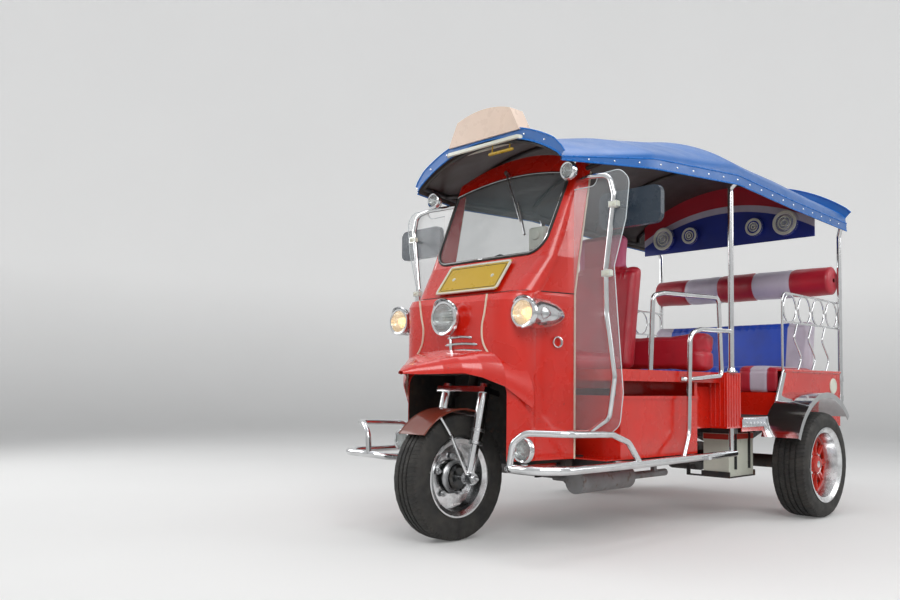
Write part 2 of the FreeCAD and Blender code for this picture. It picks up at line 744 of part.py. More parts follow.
def fork(centre_z):
    """Two legs with sliders and axle lugs, a yoke under the steering head, and the stem."""
    pieces = []
    for side in SIDES:
        x = side * S.fork_leg_x
        pieces.append(along_fork(S.fork_slider_radius, -16, 170, x))
        pieces.append(along_fork(S.fork_leg_radius, 150, S.fork_leg_top, x))
        pieces.append(rod((x - 20, 0, centre_z), (x + 20, 0, centre_z), 26))
        pieces.append(rod((x, 0, centre_z), (x + side * 34, 0, centre_z), 16))
    yoke = block(-S.fork_leg_x - 31, S.fork_leg_x + 31, -36, 60, 0, 24)
    yoke.rotate(Vector(0, 0, 0), LEFT, -S.rake)
    yoke.translate(up_fork(S.fork_leg_top - 40))
    pieces.append(yoke)
    pieces.append(along_fork(S.stem_radius, S.fork_leg_top - 30, S.bar_height, 0, S.stem_offset))
    pieces.append(rod((-S.fork_leg_x, 0, centre_z), (S.fork_leg_x, 0, centre_z), S.front_axle_radius))
    return joined(*pieces)


def handlebar():
    """Bent handlebar on the stem's head, with a round gauge over its clamp."""
    seat = up_fork(S.bar_height, 0, S.stem_offset)
    half = S.bar_half
    y, z = seat.y + 8, seat.z + 22
    run = [(-half, y + 112, z + 30), (-130, y + 34, z + 40), (-62, y, z), (62, y, z), (130, y + 34, z + 40),
           (half, y + 112, z + 30)]
    clamp = Part.makeCylinder(24, 46, seat, STEER_AXIS)
    grips = []
    for side in SIDES:
        end = Vector(side * half, y + 112, z + 30)
        inner = Vector(side * 130, y + 34, z + 40)
        grips.append(Part.makeCylinder(16, 92, end, inner - end))
    dial = seat + Vector(0, 37, S.gauge_rise)
    gauge = Part.makeCylinder(44, 52, dial, Vector(0, 0.92, 0.39))
    stalk = rod(tuple(seat + STEER_AXIS * 40), tuple(dial + Vector(0, 18, 4)), 9)
    return joined(tube(run, S.bar_radius, 60), clamp, gauge, stalk, *grips)


GUARD_THICKNESS = 3.0
BRACE_RADIUS = 5.0


def mudguard(legs, centre_z):
    """Narrow guard over the front tyre with brace rods down to the axle lugs."""
    low = S.front_tyre_radius + 18
    centre = Vector(0, 0, centre_z)
    half = S.front_tyre_width / 2 + 6
    ring = Part.makeCylinder(low + GUARD_THICKNESS, 2 * half, centre - LEFT * half, LEFT)
    ring = ring.cut(Part.makeCylinder(low, 2 * half, centre - LEFT * half, LEFT))
    fan = []
    for degrees in (40, 66, 92, 118):
        y, z = -600 * math.cos(math.radians(degrees)), 600 * math.sin(math.radians(degrees))
        fan.append(centre + Vector(-2 * half, y, z))
    start = centre - LEFT * 2 * half
    wedge = Part.Face(Part.makePolygon([start] + fan + [start])).extrude(LEFT * 4 * half)
    pieces = [ring.common(wedge)]
    for side in SIDES:
        angle = math.radians(64)
        top = centre + Vector(side * (half - 4), -low * math.cos(angle), low * math.sin(angle))
        knee = centre + Vector(side * (S.fork_leg_x - 20), -84, 176)
        foot = centre + Vector(side * S.fork_leg_x, -12, 12)
        pieces.append(rod(tuple(top), tuple(knee), BRACE_RADIUS))
        pieces.append(Part.makeSphere(BRACE_RADIUS, knee))
        pieces.append(rod(tuple(knee), tuple(foot), BRACE_RADIUS))
        x0, x1 = sorted((side * (half - 12), side * (S.fork_leg_x - 4)))
        pieces.append(block(x0, x1, 42, 76, centre_z + low - 8, centre_z + low - 3))
    return biggest(joined(*pieces).cut(legs))


def chassis():
    """Two rails kicked up behind, cross members, neck, steering head and a battery tray."""
    width = S.rail_width
    depth = S.rail_depth
    front_top = S.floor_top - S.sheet_wall
    rear_top = S.tub_floor - S.sheet_wall
    y0 = S.arch_rear + S.sheet_wall
    y1 = S.tub_rear - S.sheet_wall
    kick = (S.box_rear + 60, S.bulkhead_rear - 60)
    side_line = [(y0, front_top), (kick[0], front_top), (kick[1], rear_top), (y1, rear_top),
                 (y1, rear_top - depth), (kick[1] + 12, rear_top - depth), (kick[0] + 12, front_top - depth),
                 (y0, front_top - depth)]
    pieces = []
    for side in SIDES:
        corners = [Vector(side * S.rail_x - width / 2, y, z) for y, z in side_line]
        pieces.append(Part.Face(Part.makePolygon(corners + corners[:1])).extrude(LEFT * width))
    # cross members, welded to the rails' sides: distance back, half width, top, depth
    members = (
        (y0, S.cab_half - 20, front_top, depth - 12),
        (S.box_front - 50, S.box_half, front_top, depth - 12),
        (S.box_rear - 70, S.box_half, front_top, depth - 12),
        (S.bulkhead_rear - 56, S.bulkhead_half - 10, S.bulkhead_foot, depth - 32),
        (S.tub_front_foot - 20, S.tub_half - S.sheet_wall, rear_top, depth - 12),
        (y1 - width, S.tub_half - S.sheet_wall, rear_top, depth - 12),
    )
    for y, half, top, deep in members:
        pieces.append(block(-half, half, y, y + width, top - deep, top))
    head_foot = S.fork_leg_top
    head_top = head_foot + S.head_length
    head = along_fork(S.stem_radius + S.head_wall, head_foot, head_top, 0, S.stem_offset)
    neck_top = up_fork(head_top - 40, 0, S.stem_offset)
    neck_y = y0 + width / 2
    neck_route = [(0, neck_y, front_top - depth / 2), (0, neck_y, neck_top.z - 20),
                  (0, neck_top.y, neck_top.z)]
    neck = tube(neck_route, S.neck_radius, 60)
    hollow = along_fork(S.stem_radius + S.bearing_gap, head_foot - 100, head_foot + 600, 0, S.stem_offset)
    # battery tray on two straps that hang from the left rail
    x1 = S.battery_side + 8
    x0 = x1 - S.battery_width - 16
    strap_x = S.rail_x + width / 2
    tray_y1 = S.wheelbase - S.battery_ahead + 8
    tray_y0 = tray_y1 - S.battery_length - 16
    tray_z = S.battery_seat
    pieces.append(block(x0, x1, tray_y0, tray_y1, tray_z - 6, tray_z))
    for y in (tray_y0, tray_y1 - 5):
        pieces.append(block(x0, x1, y, y + 5, tray_z, tray_z + 24))
    for y in (tray_y0, tray_y1 - 30):
        pieces.append(block(strap_x, x0, y, y + 30, tray_z - 6, tray_z))
        pieces.append(block(strap_x, strap_x + 6, y, y + 30, tray_z, rear_top - depth + 30))
    # drilled tow plate behind and tie-down lugs in front
    pieces.append(block(-62, 62, y1 - 16, y1 - 6, S.tow_height - 42, rear_top - 20))
    holes = [rod((x, y1 - 20, S.tow_height + z), (x, y1, S.tow_height + z), S.tow_hole_radius)
             for x in (-40, 40) for z in (-25, 25)]
    lug_z = front_top - depth + 12
    hole_y = y0 + 22
    hole_z = lug_z - 24
    for x in (200, -200):
        pieces.append(block(x - 6, x + 6, y0 + 4, y0 + 40, lug_z - 46, lug_z + 1))
        holes.append(rod((x - 10, hole_y, hole_z), (x + 10, hole_y, hole_z), 11))
    return butted(pieces + [joined(head, neck)], Part.Compound([hollow] + holes))


def side_rails(frame, posts):
    """Lower side rails, the guard tubes over their front turn and the tall rails up to the middle posts."""
    z = S.side_rail_height
    x = S.side_rail_x
    y_end = S.bulkhead_rear - 40
    low_route = [(332, S.arch_rear + 26, z - 24), (346, 100, z - 22), (378, -34, z - 14), (425, -100, z - 2),
                 (580, -118, z), (x + 14, -20, z), (x + 14, 430, z), (x - 46, y_end, z)]
    lower = tube(low_route, S.rail_tube_radius, 90)
    guard_route = [(436, -100, z), (448, -96, z + 96), (500, -82, z + 136), (x + 6, 8, z + 134),
                   (x + 8, 268, z + 126), (x + 12, 372, z + 92), (x + 12, 456, z)]
    upper = tube(guard_route, S.guard_tube_radius, 60)
    stay = rod((x - 50, y_end - 30, z), (x - 50, y_end - 30, S.bulkhead_foot), 12)
    ties = [block(S.box_half, x + 8, y, y + 28, z - 12, z + 8) for y in (S.box_front - 42, S.box_rear - 62)]
    bar = S.shelf_top + 195
    tall_route = [(x - 12, 820, z), (S.post_x, 915, z + 108), (S.post_x, 930, bar - 23),
                  (S.post_x, 1020, bar), (S.post_x, S.mid_post_y, bar + 6)]
    tall = tube(tall_route, S.grab_tube_radius, 60)
    return biggest(joined(lower, upper, stay, tall, *ties).cut(frame).cut(posts))


# How far the seat shelf stands out past the engine box
SHELF_LIP = 12.0


def seat_loop():
    """Grab loop beside the driver's seat, standing on the shelf and turned in to its fascia."""
    x = S.post_x
    z = S.shelf_top
    fascia = S.box_half + SHELF_LIP
    high = z + 327
    low = z - 36
    route = [(x - 44, 676, z), (x - 30, 676, high), (x - 30, 760, high + 18), (x - 22, 1226, high + 32),
             (x - 8, 1226, low + 19), (x - 8, 945, low), (x - 14, 920, low), (fascia, 912, low)]
    loop = tube(route, S.grab_tube_radius, 30)
    shelf = block(-fascia, fascia, S.box_front - 10, S.shelf_rear, z - S.shelf_depth, z)
    return biggest(loop.cut(shelf))


SCREEN_TUBE_Y = 318.0
# Brackets between a screen tube and its clear screen: out from the centre line, height
MIRROR_BRACKET = (612, 1400)
SCREEN_BRACKETS = (MIRROR_BRACKET, (578, 1120))


def screen_tubes(nose):
    """Bright tubes that hold the clear side screens out from the pillars."""
    y = SCREEN_TUBE_Y
    route = [(352, 404, 1552), (500, y, 1536), (596, y, 1524), (620, y, 1440), (578, y, 1139), (582, y, 958),
             (622, y, 697), (596, y, 530), (500, y, 470), (S.cab_half - 20, y, 462)]
    pieces = [tube(route, S.grab_tube_radius, 50)]
    for x, z in SCREEN_BRACKETS:
        pieces.append(block(x - 12, x + 30, y - 14, y + S.grab_tube_radius, z - 13, z + 13))
    return both_sides(biggest(joined(*pieces).cut(nose)))


SCREEN_SHEET = 3.0


def side_screens():
    """Clear side screens with a waisted outer edge."""
    y = SCREEN_TUBE_Y + S.grab_tube_radius
    inner = S.cab_half + 14
    corners = [(inner, 1496), (514, 1496), (532, 1540), (640, 1546), (686, 1500), (668, 1336), (612, 1150),
               (628, 955), (656, 633), (640, 500), (590, 466), (inner, 470)]
    edges = tube_path([(x, y, z) for x, z in corners], 60).Edges
    last, first = [Vector(x, y, z) for x, z in (corners[-1], corners[0])]
    closing = Part.LineSegment(last, first).toShape()
    return both_sides(Part.Face(Part.Wire(edges + [closing])).extrude(BACK * SCREEN_SHEET))


def bullet_lamps(nose):
    """Side headlamps: lens, ring and a long bullet seated on the nose shell."""
    r = S.lamp_radius
    depth = S.lamp_length
    profile = [dome(0, -9, r - 5), ((0, r - 5), (-4, r - 2)), ((-4, r - 2), (2, r + 2)),
               ((2, r + 2), (16, r + 1)), ((16, r + 1), (18, r - 4)),
               ((18, r - 4), (depth * 0.66, r * 0.80), (depth, 9)), ((depth, 9), (depth, 0)),
               ((depth, 0), (-9, 0))]
    return both_sides(biggest(spun(profile, (S.lamp_x, S.lamp_y, S.lamp_height), BACK).cut(nose)))


def nose_lamp():
    """Middle headlamp: lens, ring and a bowl on the nose."""
    r = S.nose_lamp_radius
    depth = S.nose_y - S.nose_lamp_y
    profile = [dome(0, -10, r - 6), ((0, r - 6), (-5, r - 3)), ((-5, r - 3), (2, r + 1)),
               ((2, r + 1), (20, r)), ((20, r), (22, r - 5)), ((22, r - 5), (depth, r - 26)),
               ((depth, r - 26), (depth, 0)), ((depth, 0), (-10, 0))]
    return spun(profile, (0, S.nose_lamp_y, S.nose_lamp_height), BACK)


def small_lamps(nose, frame):
    """Fog lamps on stems from the nose and round lamps hung from the roof's front corners."""
    depth = 50

    def bowl(at, r):
        profile = [dome(0, -6, r - 5), ((0, r - 5), (2, r)), ((2, r), (14, r)),
                   ((14, r), (depth * 0.76, r * 0.68), (depth, 10)), ((depth, 10), (depth, 0)),
                   ((depth, 0), (-6, 0))]
        return spun(profile, at, BACK)

    x, y, z = 372, 44, 401
    fog = joined(bowl((x, y, z), 54), rod((x, y + depth - 6, z), (x - 62, y + depth + 36, z), 11))
    x, y, z = 420, 266, 1566
    hanger_y = y + 24
    out, high = roof_rail_at(hanger_y)
    corner = joined(bowl((x, y, z), 40), rod((x, hanger_y, z), (out, hanger_y, high), 7))
    return both_sides(Part.Compound([biggest(fog.cut(nose)), biggest(corner.cut(frame))]))


def turn_lamps(nose):
    """Amber side lamps on the wings."""
    foot = Vector(S.cab_half - 40, 262, 842)
    profile = [((0, 0), (0, 20)), ((0, 20), (34, 20)), dome(34, 16, 20)[::-1], ((50, 0), (0, 0))]
    return both_sides(biggest(spun(profile, tuple(foot), (0.94, -0.34, 0)).cut(nose)))


def mirrors():
    """Rounded mirrors on short arms from the side screens."""
    face = S.grab_tube_radius + SCREEN_TUBE_Y + SCREEN_SHEET
    shell = block(496, 796, 384, 410, 1316, 1470)
    shell = shell.makeFillet(34, [edge for edge in shell.Edges if abs(edge.tangentAt(0).y) > 0.9])
    x, z = MIRROR_BRACKET
    arm = rod((x, face - 20, z), (x + 28, 390, z - 6), 8).cut(block(500, 900, 200, face, z - 100, z + 100))
    return both_sides(biggest(joined(shell, arm)))


def notice_plate():
    """Blank plate on two studs, parallel to the sloping scuttle."""
    slope = Vector(0, S.scuttle_y - S.seam_y, S.scuttle - S.seam).normalize()
    out = Vector(0, -slope.z, slope.y)
    stand = 12.0
    corner = Vector(-190, S.seam_y, S.seam) + slope * 8 + out * stand
    middle = Vector(0, S.seam_y, S.seam) + slope * 92
    wide = LEFT * 380
    tall = slope * 168
    ring = [corner, corner + wide, corner + wide + tall, corner + tall, corner]
    plate = Part.Face(Part.makePolygon(ring)).extrude(out * 3)
    studs = [Part.makeCylinder(9, stand + 1, middle + LEFT * side * 120, out) for side in SIDES]
    return joined(plate, *studs)


def wiper():
    """Arm from the header to a blade on the glass."""
    pivot = Part.makeCylinder(10, 24, on_screen(-45, 1652), -SCREEN_IN)
    arm = rod(tuple(on_screen(-45, 1652, -18)), tuple(on_screen(150, 1384, -12)), 4)
    blade = rod(tuple(on_screen(86, 1490, -5)), tuple(on_screen(200, 1316, -5)), 5)
    return joined(pivot, arm, blade)


def side_racks(posts):
    """Wire racks of rings and scrolls beside the passengers."""
    x = S.rear_post_x - 12
    high = 1168.0
    middle = 1017.0
    front = S.tub_front_top + 34
    wire = 6.0
    pieces = [tube([(x, REAR_POST_Y, high), (x, front, high + 6), (x, front, S.tub_top)], wire, 46)]
    pieces.append(rod((x, front, middle), (x, REAR_POST_Y, middle), wire))
    pitch = (REAR_POST_Y - front) / 4
    for number in range(4):
        y = front + pitch * (number + 0.5)
        ring = Part.makeTorus((high - middle) / 2, 5, Vector(x, y, (high + middle) / 2), LEFT)
        pieces.append(ring)
    for number in range(3):
        y = front + pitch * (number + 1)
        scroll = [(x, y, S.tub_top), (x, y + 52, S.tub_top + 74), (x, y - 46, middle - 84), (x, y, middle)]
        pieces.append(tube(scroll, 5, 34))
    under = block(0, S.tub_half, S.tub_front_top, S.tub_rear, S.tub_top - 20, S.tub_top)
    return both_sides(biggest(joined(*pieces).cut(posts).cut(under)))


def rear_fenders():
    """Bright curved guards over the rear tyres with a turned down outer lip."""
    centre = Vector(S.tub_half, S.wheelbase + 30, 270)
    reach = 192.0
    outer = S.rear_tyre_radius + 101.5
    sheet = 4
    ring = Part.makeCylinder(outer, reach, centre, LEFT)
    ring = ring.cut(Part.makeCylinder(outer - sheet, reach, centre, LEFT))
    lip = Part.makeCylinder(outer, sheet, centre + LEFT * (reach - sheet), LEFT)
    lip = lip.cut(Part.makeCylinder(outer - 28, sheet, centre + LEFT * (reach - sheet), LEFT))
    start = centre - LEFT * 10
    fan = [start + Vector(0, -700 * math.cos(math.radians(a)), 700 * math.sin(math.radians(a)))
           for a in (23, 52, 81, 110, 139)]
    wedge = Part.Face(Part.makePolygon([start] + fan + [start])).extrude(LEFT * (reach + 20))
    return both_sides(biggest(joined(ring, lip).common(wedge)))


# Round lamps of the board under the roof: out from the centre line, radius
SPEAKER_LAMPS = ((410, 76), (217, 56), (-217, 56), (-410, 76))


def speaker_panel(canvas, frame):
    """Board under the roof behind the bench with four round lamps on its face."""
    y = SPEAKER_BOW - BOW_RADIUS
    board = block(-570, 570, y - 12, y, 1540, 1960)
    board = biggest(board.cut(canvas).cut(frame))
    z = 1634
    lamps = [rod((x, y - 44, z), (x, y - 11, z), r) for x, r in SPEAKER_LAMPS]
    return joined(board, *lamps)


def roof_sign(canvas):
    """Blank lamp box with a rounded top on two feet on the front of the roof."""
    y = ROOF_ROWS[0][0] - 12
    at = lambda x, z: Vector(x, y, z)
    line = lambda a, b: Part.LineSegment(at(*a), at(*b)).toShape()
    foot, waist, top = (222, 1768), (208, 1796), (166, 1876)
    turn = lambda point: (-point[0], point[1])
    wire = Part.Wire([line(turn(foot), foot), line(foot, waist), line(waist, top),
                      Part.Arc(at(*top), at(0, top[1] + 28), at(*turn(top))).toShape(),
                      line(turn(top), turn(waist)), line(turn(waist), turn(foot))])
    lamp_box = Part.Face(wire).extrude(BACK * 84)
    feet = [block(x - 16, x + 16, y + 24, y + 60, foot[1] - 48, foot[1] + 2) for x in (-150, 150)]
    return max(joined(lamp_box, *feet).cut(canvas).Solids, key=lambda solid: solid.BoundBox.ZMax)


def bolster(posts):
    """Round striped cushion on a bar between the rear posts."""
    half = S.bolster_half
    y = REAR_POST_Y - S.bolster_ahead
    z = S.bolster_height
    roll = rod((-half, y, z), (half, y, z), S.bolster_radius)
    route = [(half - 60, y, z), (half + 9, y, z), (S.rear_post_x, REAR_POST_Y, z)]
    end = tube(route, 7, 8)
    return biggest(joined(roll, end, flipped(end)).cut(posts))


def helper(name, shape):
    """An unplaced shape for bound objects to be cut by."""
    obj = DOC.addObject("Part::Feature", name)
    obj.Shape = shape
    return obj


# Curved and trimmed sub-parts
frame_shape = chassis()
nose = nose_shell()
canvas = roof()
roof_tubes = roof_frame(canvas, nose)
posts = roof_posts(roof_tubes, canvas)
fork_shape = fork(S.front_tyre_radius)
feature("chassis_frame", frame_shape)
feature("nose_shell", nose)
feature("arch_liner", arch_liner())
feature("front_hood", beak())
feature("windscreen", screen_prism(0, S.screen_thickness))
feature("wiper", wiper())
feature("notice_plate", notice_plate())
feature("nose_lamp", nose_lamp())
feature("side_headlamps", bullet_lamps(nose))
feature("small_lamps", small_lamps(nose, roof_tubes))
feature("turn_lamps", turn_lamps(nose))
feature("roof_canopy", canvas)
feature("roof_frame", roof_tubes)
feature("roof_posts", posts)
feature("roof_sign", roof_sign(canvas))
feature("speaker_panel", speaker_panel(canvas, roof_tubes))
feature("side_rails", both_sides(joined(side_rails(frame_shape, posts), seat_loop())))
feature("screen_tubes", screen_tubes(nose))
feature("side_screens", side_screens())
feature("mirrors", mirrors())
feature("side_racks", side_racks(posts))
feature("rear_fenders", rear_fenders())
feature("bolster", bolster(posts))
feature("fork", fork_shape)
feature("handlebar", handlebar())
feature("front_mudguard", mudguard(fork_shape, S.front_tyre_radius))

# Cab floor with the engine box
wall = S.sheet_wall
foot = S.floor_top - wall
edge = S.box_half - wall
hole = S.rail_x + S.rail_width / 2
neck_y = S.arch_rear + wall + S.rail_width / 2
neck_hole = drum("neck_hole", UP, (Size(0), neck_y, foot - 1), wall + 2, S.neck_radius + 1)
front_part = helper("footwell", footwell())
lip = S.box_top - 14
lip_half = S.box_half + 6
front_wall = (S.box_front, S.box_front + wall)
rear_wall = (S.box_rear - wall, S.box_rear)
between = (S.box_front + wall, S.box_rear - wall)
ledges = (S.box_front + 30, S.box_rear - 40)
# name, across, along, up: sheets of the engine box, edge to edge
BOX_SHEETS = (
    ("front_sheet", (-S.box_half, S.box_half), front_wall, (foot, lip)),
    ("rear_sheet", (-S.box_half, S.box_half), rear_wall, (foot, lip)),
    ("left_sheet", (edge, S.box_half), between, (foot, lip)),
    ("right_sheet", (-S.box_half, -edge), between, (foot, lip)),
    ("left_sole", (hole, edge), between, (foot, S.floor_top)),
    ("right_sole", (-edge, -hole), between, (foot, S.floor_top)),
    ("front_sole", (-hole, hole), (between[0], ledges[0]), (foot, S.floor_top)),
    ("rear_sole", (-hole, hole), (ledges[1], between[1]), (foot, S.floor_top)),
    ("front_lip", (-lip_half, lip_half), (S.box_front - 6, front_wall[1]), (lip, S.box_top)),
    ("rear_lip", (-lip_half, lip_half), rear_wall, (lip, S.box_top)),
    ("left_lip", (edge, lip_half), between, (lip, S.box_top)),
    ("right_lip", (-lip_half, -edge), between, (lip, S.box_top)),
)
keep("cab_floor", grouped(
    "cab_floor", less("footwell_plate", front_part, neck_hole),
    less("floor_plate",
         box("floor", (-S.box_half, S.box_half), (S.pillar_y, S.box_front), (foot, S.floor_top)),
         front_part, neck_hole),
    *[box(*sheet) for sheet in BOX_SHEETS]))

# Seat shelf: tray lid on four corner legs over the open engine box
reach = S.box_half + SHELF_LIP
shelf_front = S.box_front - 10
shelf_foot = S.shelf_top - S.shelf_depth
lid = less("shelf_lid",
           box("lid_outer", (-reach, reach), (shelf_front, S.shelf_rear), (shelf_foot, S.shelf_top)),
           box("lid_inner", (wall - reach, reach - wall), (shelf_front + wall, S.shelf_rear - wall),
               (shelf_foot - 1, S.shelf_top - wall)))
leg = 24
legs = [box("shelf_leg%d%d" % (i, j), (x, x + leg), (y, y + leg), (S.box_top, S.shelf_top - wall))
        for i, x in enumerate((S.box_half - leg, -S.box_half))
        for j, y in enumerate((S.box_front, S.box_rear - leg))]
shelf = merged("seat_shelf", lid, *legs)
keep("seat_shelf", shelf)

# Bulkhead: two columns, the panel between them and the inset panels forward to the engine box
column_in = S.bulkhead_half - 96
inset_out = column_in + wall
columns_y = (S.shelf_rear, S.bulkhead_rear)
inset_y = (S.box_rear, S.shelf_rear)
full_height = (S.bulkhead_foot, S.shelf_top)
inset_height = (S.bulkhead_foot, S.shelf_top - 69)
bulkhead = less("bulkhead", merged(
    "bulkhead_body",
    box("column_left", (column_in, S.bulkhead_half), columns_y, full_height),
    box("column_right", (-S.bulkhead_half, -column_in), columns_y, full_height),
    box("bulkhead_panel", (-column_in, column_in), (S.bulkhead_rear - 12, S.bulkhead_rear), full_height),
    box("inset_left", (column_in, inset_out), inset_y, inset_height),
    box("inset_right", (-inset_out, -column_in), inset_y, inset_height)),
    helper("chassis_core", frame_shape))
keep("bulkhead", bulkhead)

# Rear tub
inside = S.tub_half - wall
bench_plate = S.bench_top - S.bench_depth
side_view = [(S.bulkhead_rear, S.tub_foot), (S.tub_rear, S.tub_foot), (S.tub_rear, S.tub_top),
             (S.tub_front_top, S.tub_top), (S.tub_front_foot, S.tub_floor), (S.bulkhead_rear, S.tub_floor)]
tub_side = slab("tub_side", side_view, inside, S.tub_half)
back_face = S.tub_rear - wall
riser = S.bench_front + 16
ledge_in = S.tub_half - 60
ledge = box("ledge", (ledge_in, inside), (S.tub_front_top, back_face), (S.tub_top - wall, S.tub_top))
floor_z = (S.tub_floor - wall, S.tub_floor)
rear_tub = grouped(
    "rear_tub", tub_side, mirror_of("tub_side", tub_side), ledge, mirror_of("ledge", ledge),
    box("tub_floor_plate", (-inside, inside), (S.bulkhead_rear, back_face), floor_z),
    box("tub_back", (-inside, inside), (back_face, S.tub_rear), (S.tub_foot, S.tub_top)),
    box("bench_riser", (-inside, inside), (riser, riser + wall), (S.tub_floor, bench_plate - wall)),
    box("bench_deck", (-inside, inside), (riser, back_face), (bench_plate - wall, bench_plate)))
keep("rear_tub", rear_tub)

# Soft parts
bench_rear = S.bench_back_y - 20
bench_over = S.post_x - 26
keep("bench_cushion", merged(
    "bench_cushion",
    box("bench_middle", (-ledge_in, ledge_in), (S.bench_front, bench_rear), (bench_plate, S.bench_top)),
    box("bench_over", (-bench_over, bench_over), (S.bench_front, bench_rear), (S.tub_top, S.bench_top)),
    box("bench_nose", (-inside, inside), (S.bench_front, S.tub_front_top), (bench_plate, S.bench_top))))
back_lean = 60
back_half = ledge_in - 10
back_face_top = bench_rear + back_lean
keep("bench_back", slab("bench_back", [
    (bench_rear, bench_plate), (bench_rear + S.bench_back_depth, bench_plate),
    (back_face_top + S.bench_back_depth, S.bench_back_top), (back_face_top, S.bench_back_top)],
    -back_half, back_half))
seat_y = S.box_front + 105
seat_rear = seat_y + 400
seat_half = Size(240)
seat_back_half = Size(245)
headrest_half = Size(150)
seat_lean = 80
seat_thick = 90
seat_top = S.shelf_top + 540
keep("driver_seat_cushion", box("seat_cushion", (-seat_half, seat_half), (seat_y, seat_rear),
                                (S.shelf_top, S.shelf_top + 82)), seat_y)
seat_view = [(seat_rear, S.shelf_top), (seat_rear + seat_thick, S.shelf_top),
             (seat_rear + seat_lean + seat_thick, seat_top), (seat_rear + seat_lean, seat_top)]
headrest_y = seat_rear + seat_lean - 5
keep("driver_seat_back", merged(
    "driver_seat_back",
    slab("seat_back", seat_view, -seat_back_half, seat_back_half),
    box("headrest", (-headrest_half, headrest_half), (headrest_y, headrest_y + seat_thick),
        (seat_top, S.shelf_top + S.headrest_top))))
pad_front = S.shelf_rear - 124
keep("partition_pad", box("partition_pad", (-S.pad_half, S.pad_half), (pad_front, S.shelf_rear - 4),
                          (S.shelf_top, S.shelf_top + 195)), pad_front)

# Engine with its bearers, exhaust pipe and silencer
bearer = S.rail_x - S.rail_width / 2
bearer_z = (Size(302), Size(336))
silencer_x = S.rail_x + 84
silencer_z = Size(246)
silencer_front = S.box_front - 44
silencer_length = Size(380)
silencer_rear = silencer_front + silencer_length
pipe_radius = Size(17)
straps = S.floor_top - wall - S.rail_depth + 12
keep("engine_block", merged(
    "engine_block",
    box("engine_case", (Size(-205), Size(205)), (S.box_front + 40, S.box_rear - 86), (Size(240), Size(650))),
    box("bearer_front", (-bearer, bearer), (S.box_front + 95, S.box_front + 145), bearer_z),
    box("bearer_rear", (-bearer, bearer), (S.box_rear - 165, S.box_rear - 115), bearer_z),
    drum("outlet", LEFT, (Size(150), S.box_front + 60, silencer_z), silencer_x - 150, pipe_radius),
    drum("silencer", BACK, (silencer_x, silencer_front, silencer_z), silencer_length, Size(52)),
    drum("tail_pipe", BACK, (silencer_x, silencer_rear - 6, silencer_z), S.box_rear + 49 - silencer_rear + 6,
         pipe_radius),
    box("strap_front", (silencer_x - 14, silencer_x + 14), (silencer_front + 2, silencer_front + 30),
        (silencer_z + 40, straps)),
    box("strap_rear", (silencer_x - 10, silencer_x + 10), (S.box_rear - 60, S.box_rear - 36),
        (silencer_z, straps))))

# Battery on its tray
battery_x = (S.battery_side - S.battery_width, S.battery_side)
battery_rear = S.wheelbase - S.battery_ahead
battery_y = (battery_rear - S.battery_length, battery_rear)
battery_top = S.battery_seat + S.battery_height
keep("battery", merged(
    "battery",
    box("battery_case", battery_x, battery_y, (S.battery_seat, battery_top - 34)),
    box("battery_lid", (battery_x[0] - 2, battery_x[1] + 2), (battery_y[0] - 2, battery_y[1] + 2),
        (battery_top - 34, battery_top)),
    *[drum(name, UP, (battery_x[0] + 34, y, battery_top), Size(16), Size(8))
      for name, y in (("terminal_a", battery_y[0] + 34), ("terminal_b", battery_y[1] - 34))]))

# Tail lamps on the tub's rear wall
tail_lamp_height = Size(640)
tail = drum("tail_lamp", BACK, (Size(490), S.tub_rear, tail_lamp_height), Size(26), Size(46))
stop = drum("stop_lamp", BACK, (Size(380), S.tub_rear, tail_lamp_height), Size(22), Size(34))
keep("tail_lamps", grouped("tail_lamps", tail, mirror_of("tail_lamp", tail),
                           stop, mirror_of("stop_lamp", stop)))

# Rear axle beam with springs, drums and stubs
hub_y = S.wheelbase
hub_z = S.rear_tyre_radius
beam_end = S.rear_wheel_x - S.rear_tyre_width / 2 - 10
rail_foot = S.tub_floor - wall - S.rail_depth
spring_out, spring_in = 350, 312
spring_view = [(hub_y - spring_out, rail_foot), (hub_y - spring_out, rail_foot - 44), (hub_y, hub_z + 30),
               (hub_y + spring_out, rail_foot - 44), (hub_y + spring_out, rail_foot),
               (hub_y + spring_in, rail_foot), (hub_y + spring_in, rail_foot - 22), (hub_y, hub_z + 62),
               (hub_y - spring_in, rail_foot - 22), (hub_y - spring_in, rail_foot)]
spring = slab("spring", spring_view, S.rail_x - S.rail_width / 2, S.rail_x + S.rail_width / 2)
stub_end = S.rear_wheel_x + 26
brake_width = Size(46)
brake_radius = Size(104)
keep("rear_axle", merged(
    "rear_axle",
    drum("beam", LEFT, (-beam_end, hub_y, hub_z), beam_end * 2, Size(35)),
    drum("stubs", LEFT, (-stub_end, hub_y, hub_z), stub_end * 2, S.rear_stub_radius),
    drum("final_drive", LEFT, (Size(-90), hub_y, hub_z), Size(180), Size(82)),
    drum("brake_left", LEFT, (beam_end - 4, hub_y, hub_z), brake_width, brake_radius),
    drum("brake_right", LEFT, (4 - beam_end - brake_width, hub_y, hub_z), brake_width, brake_radius),
    spring, mirror_of("spring", spring)))

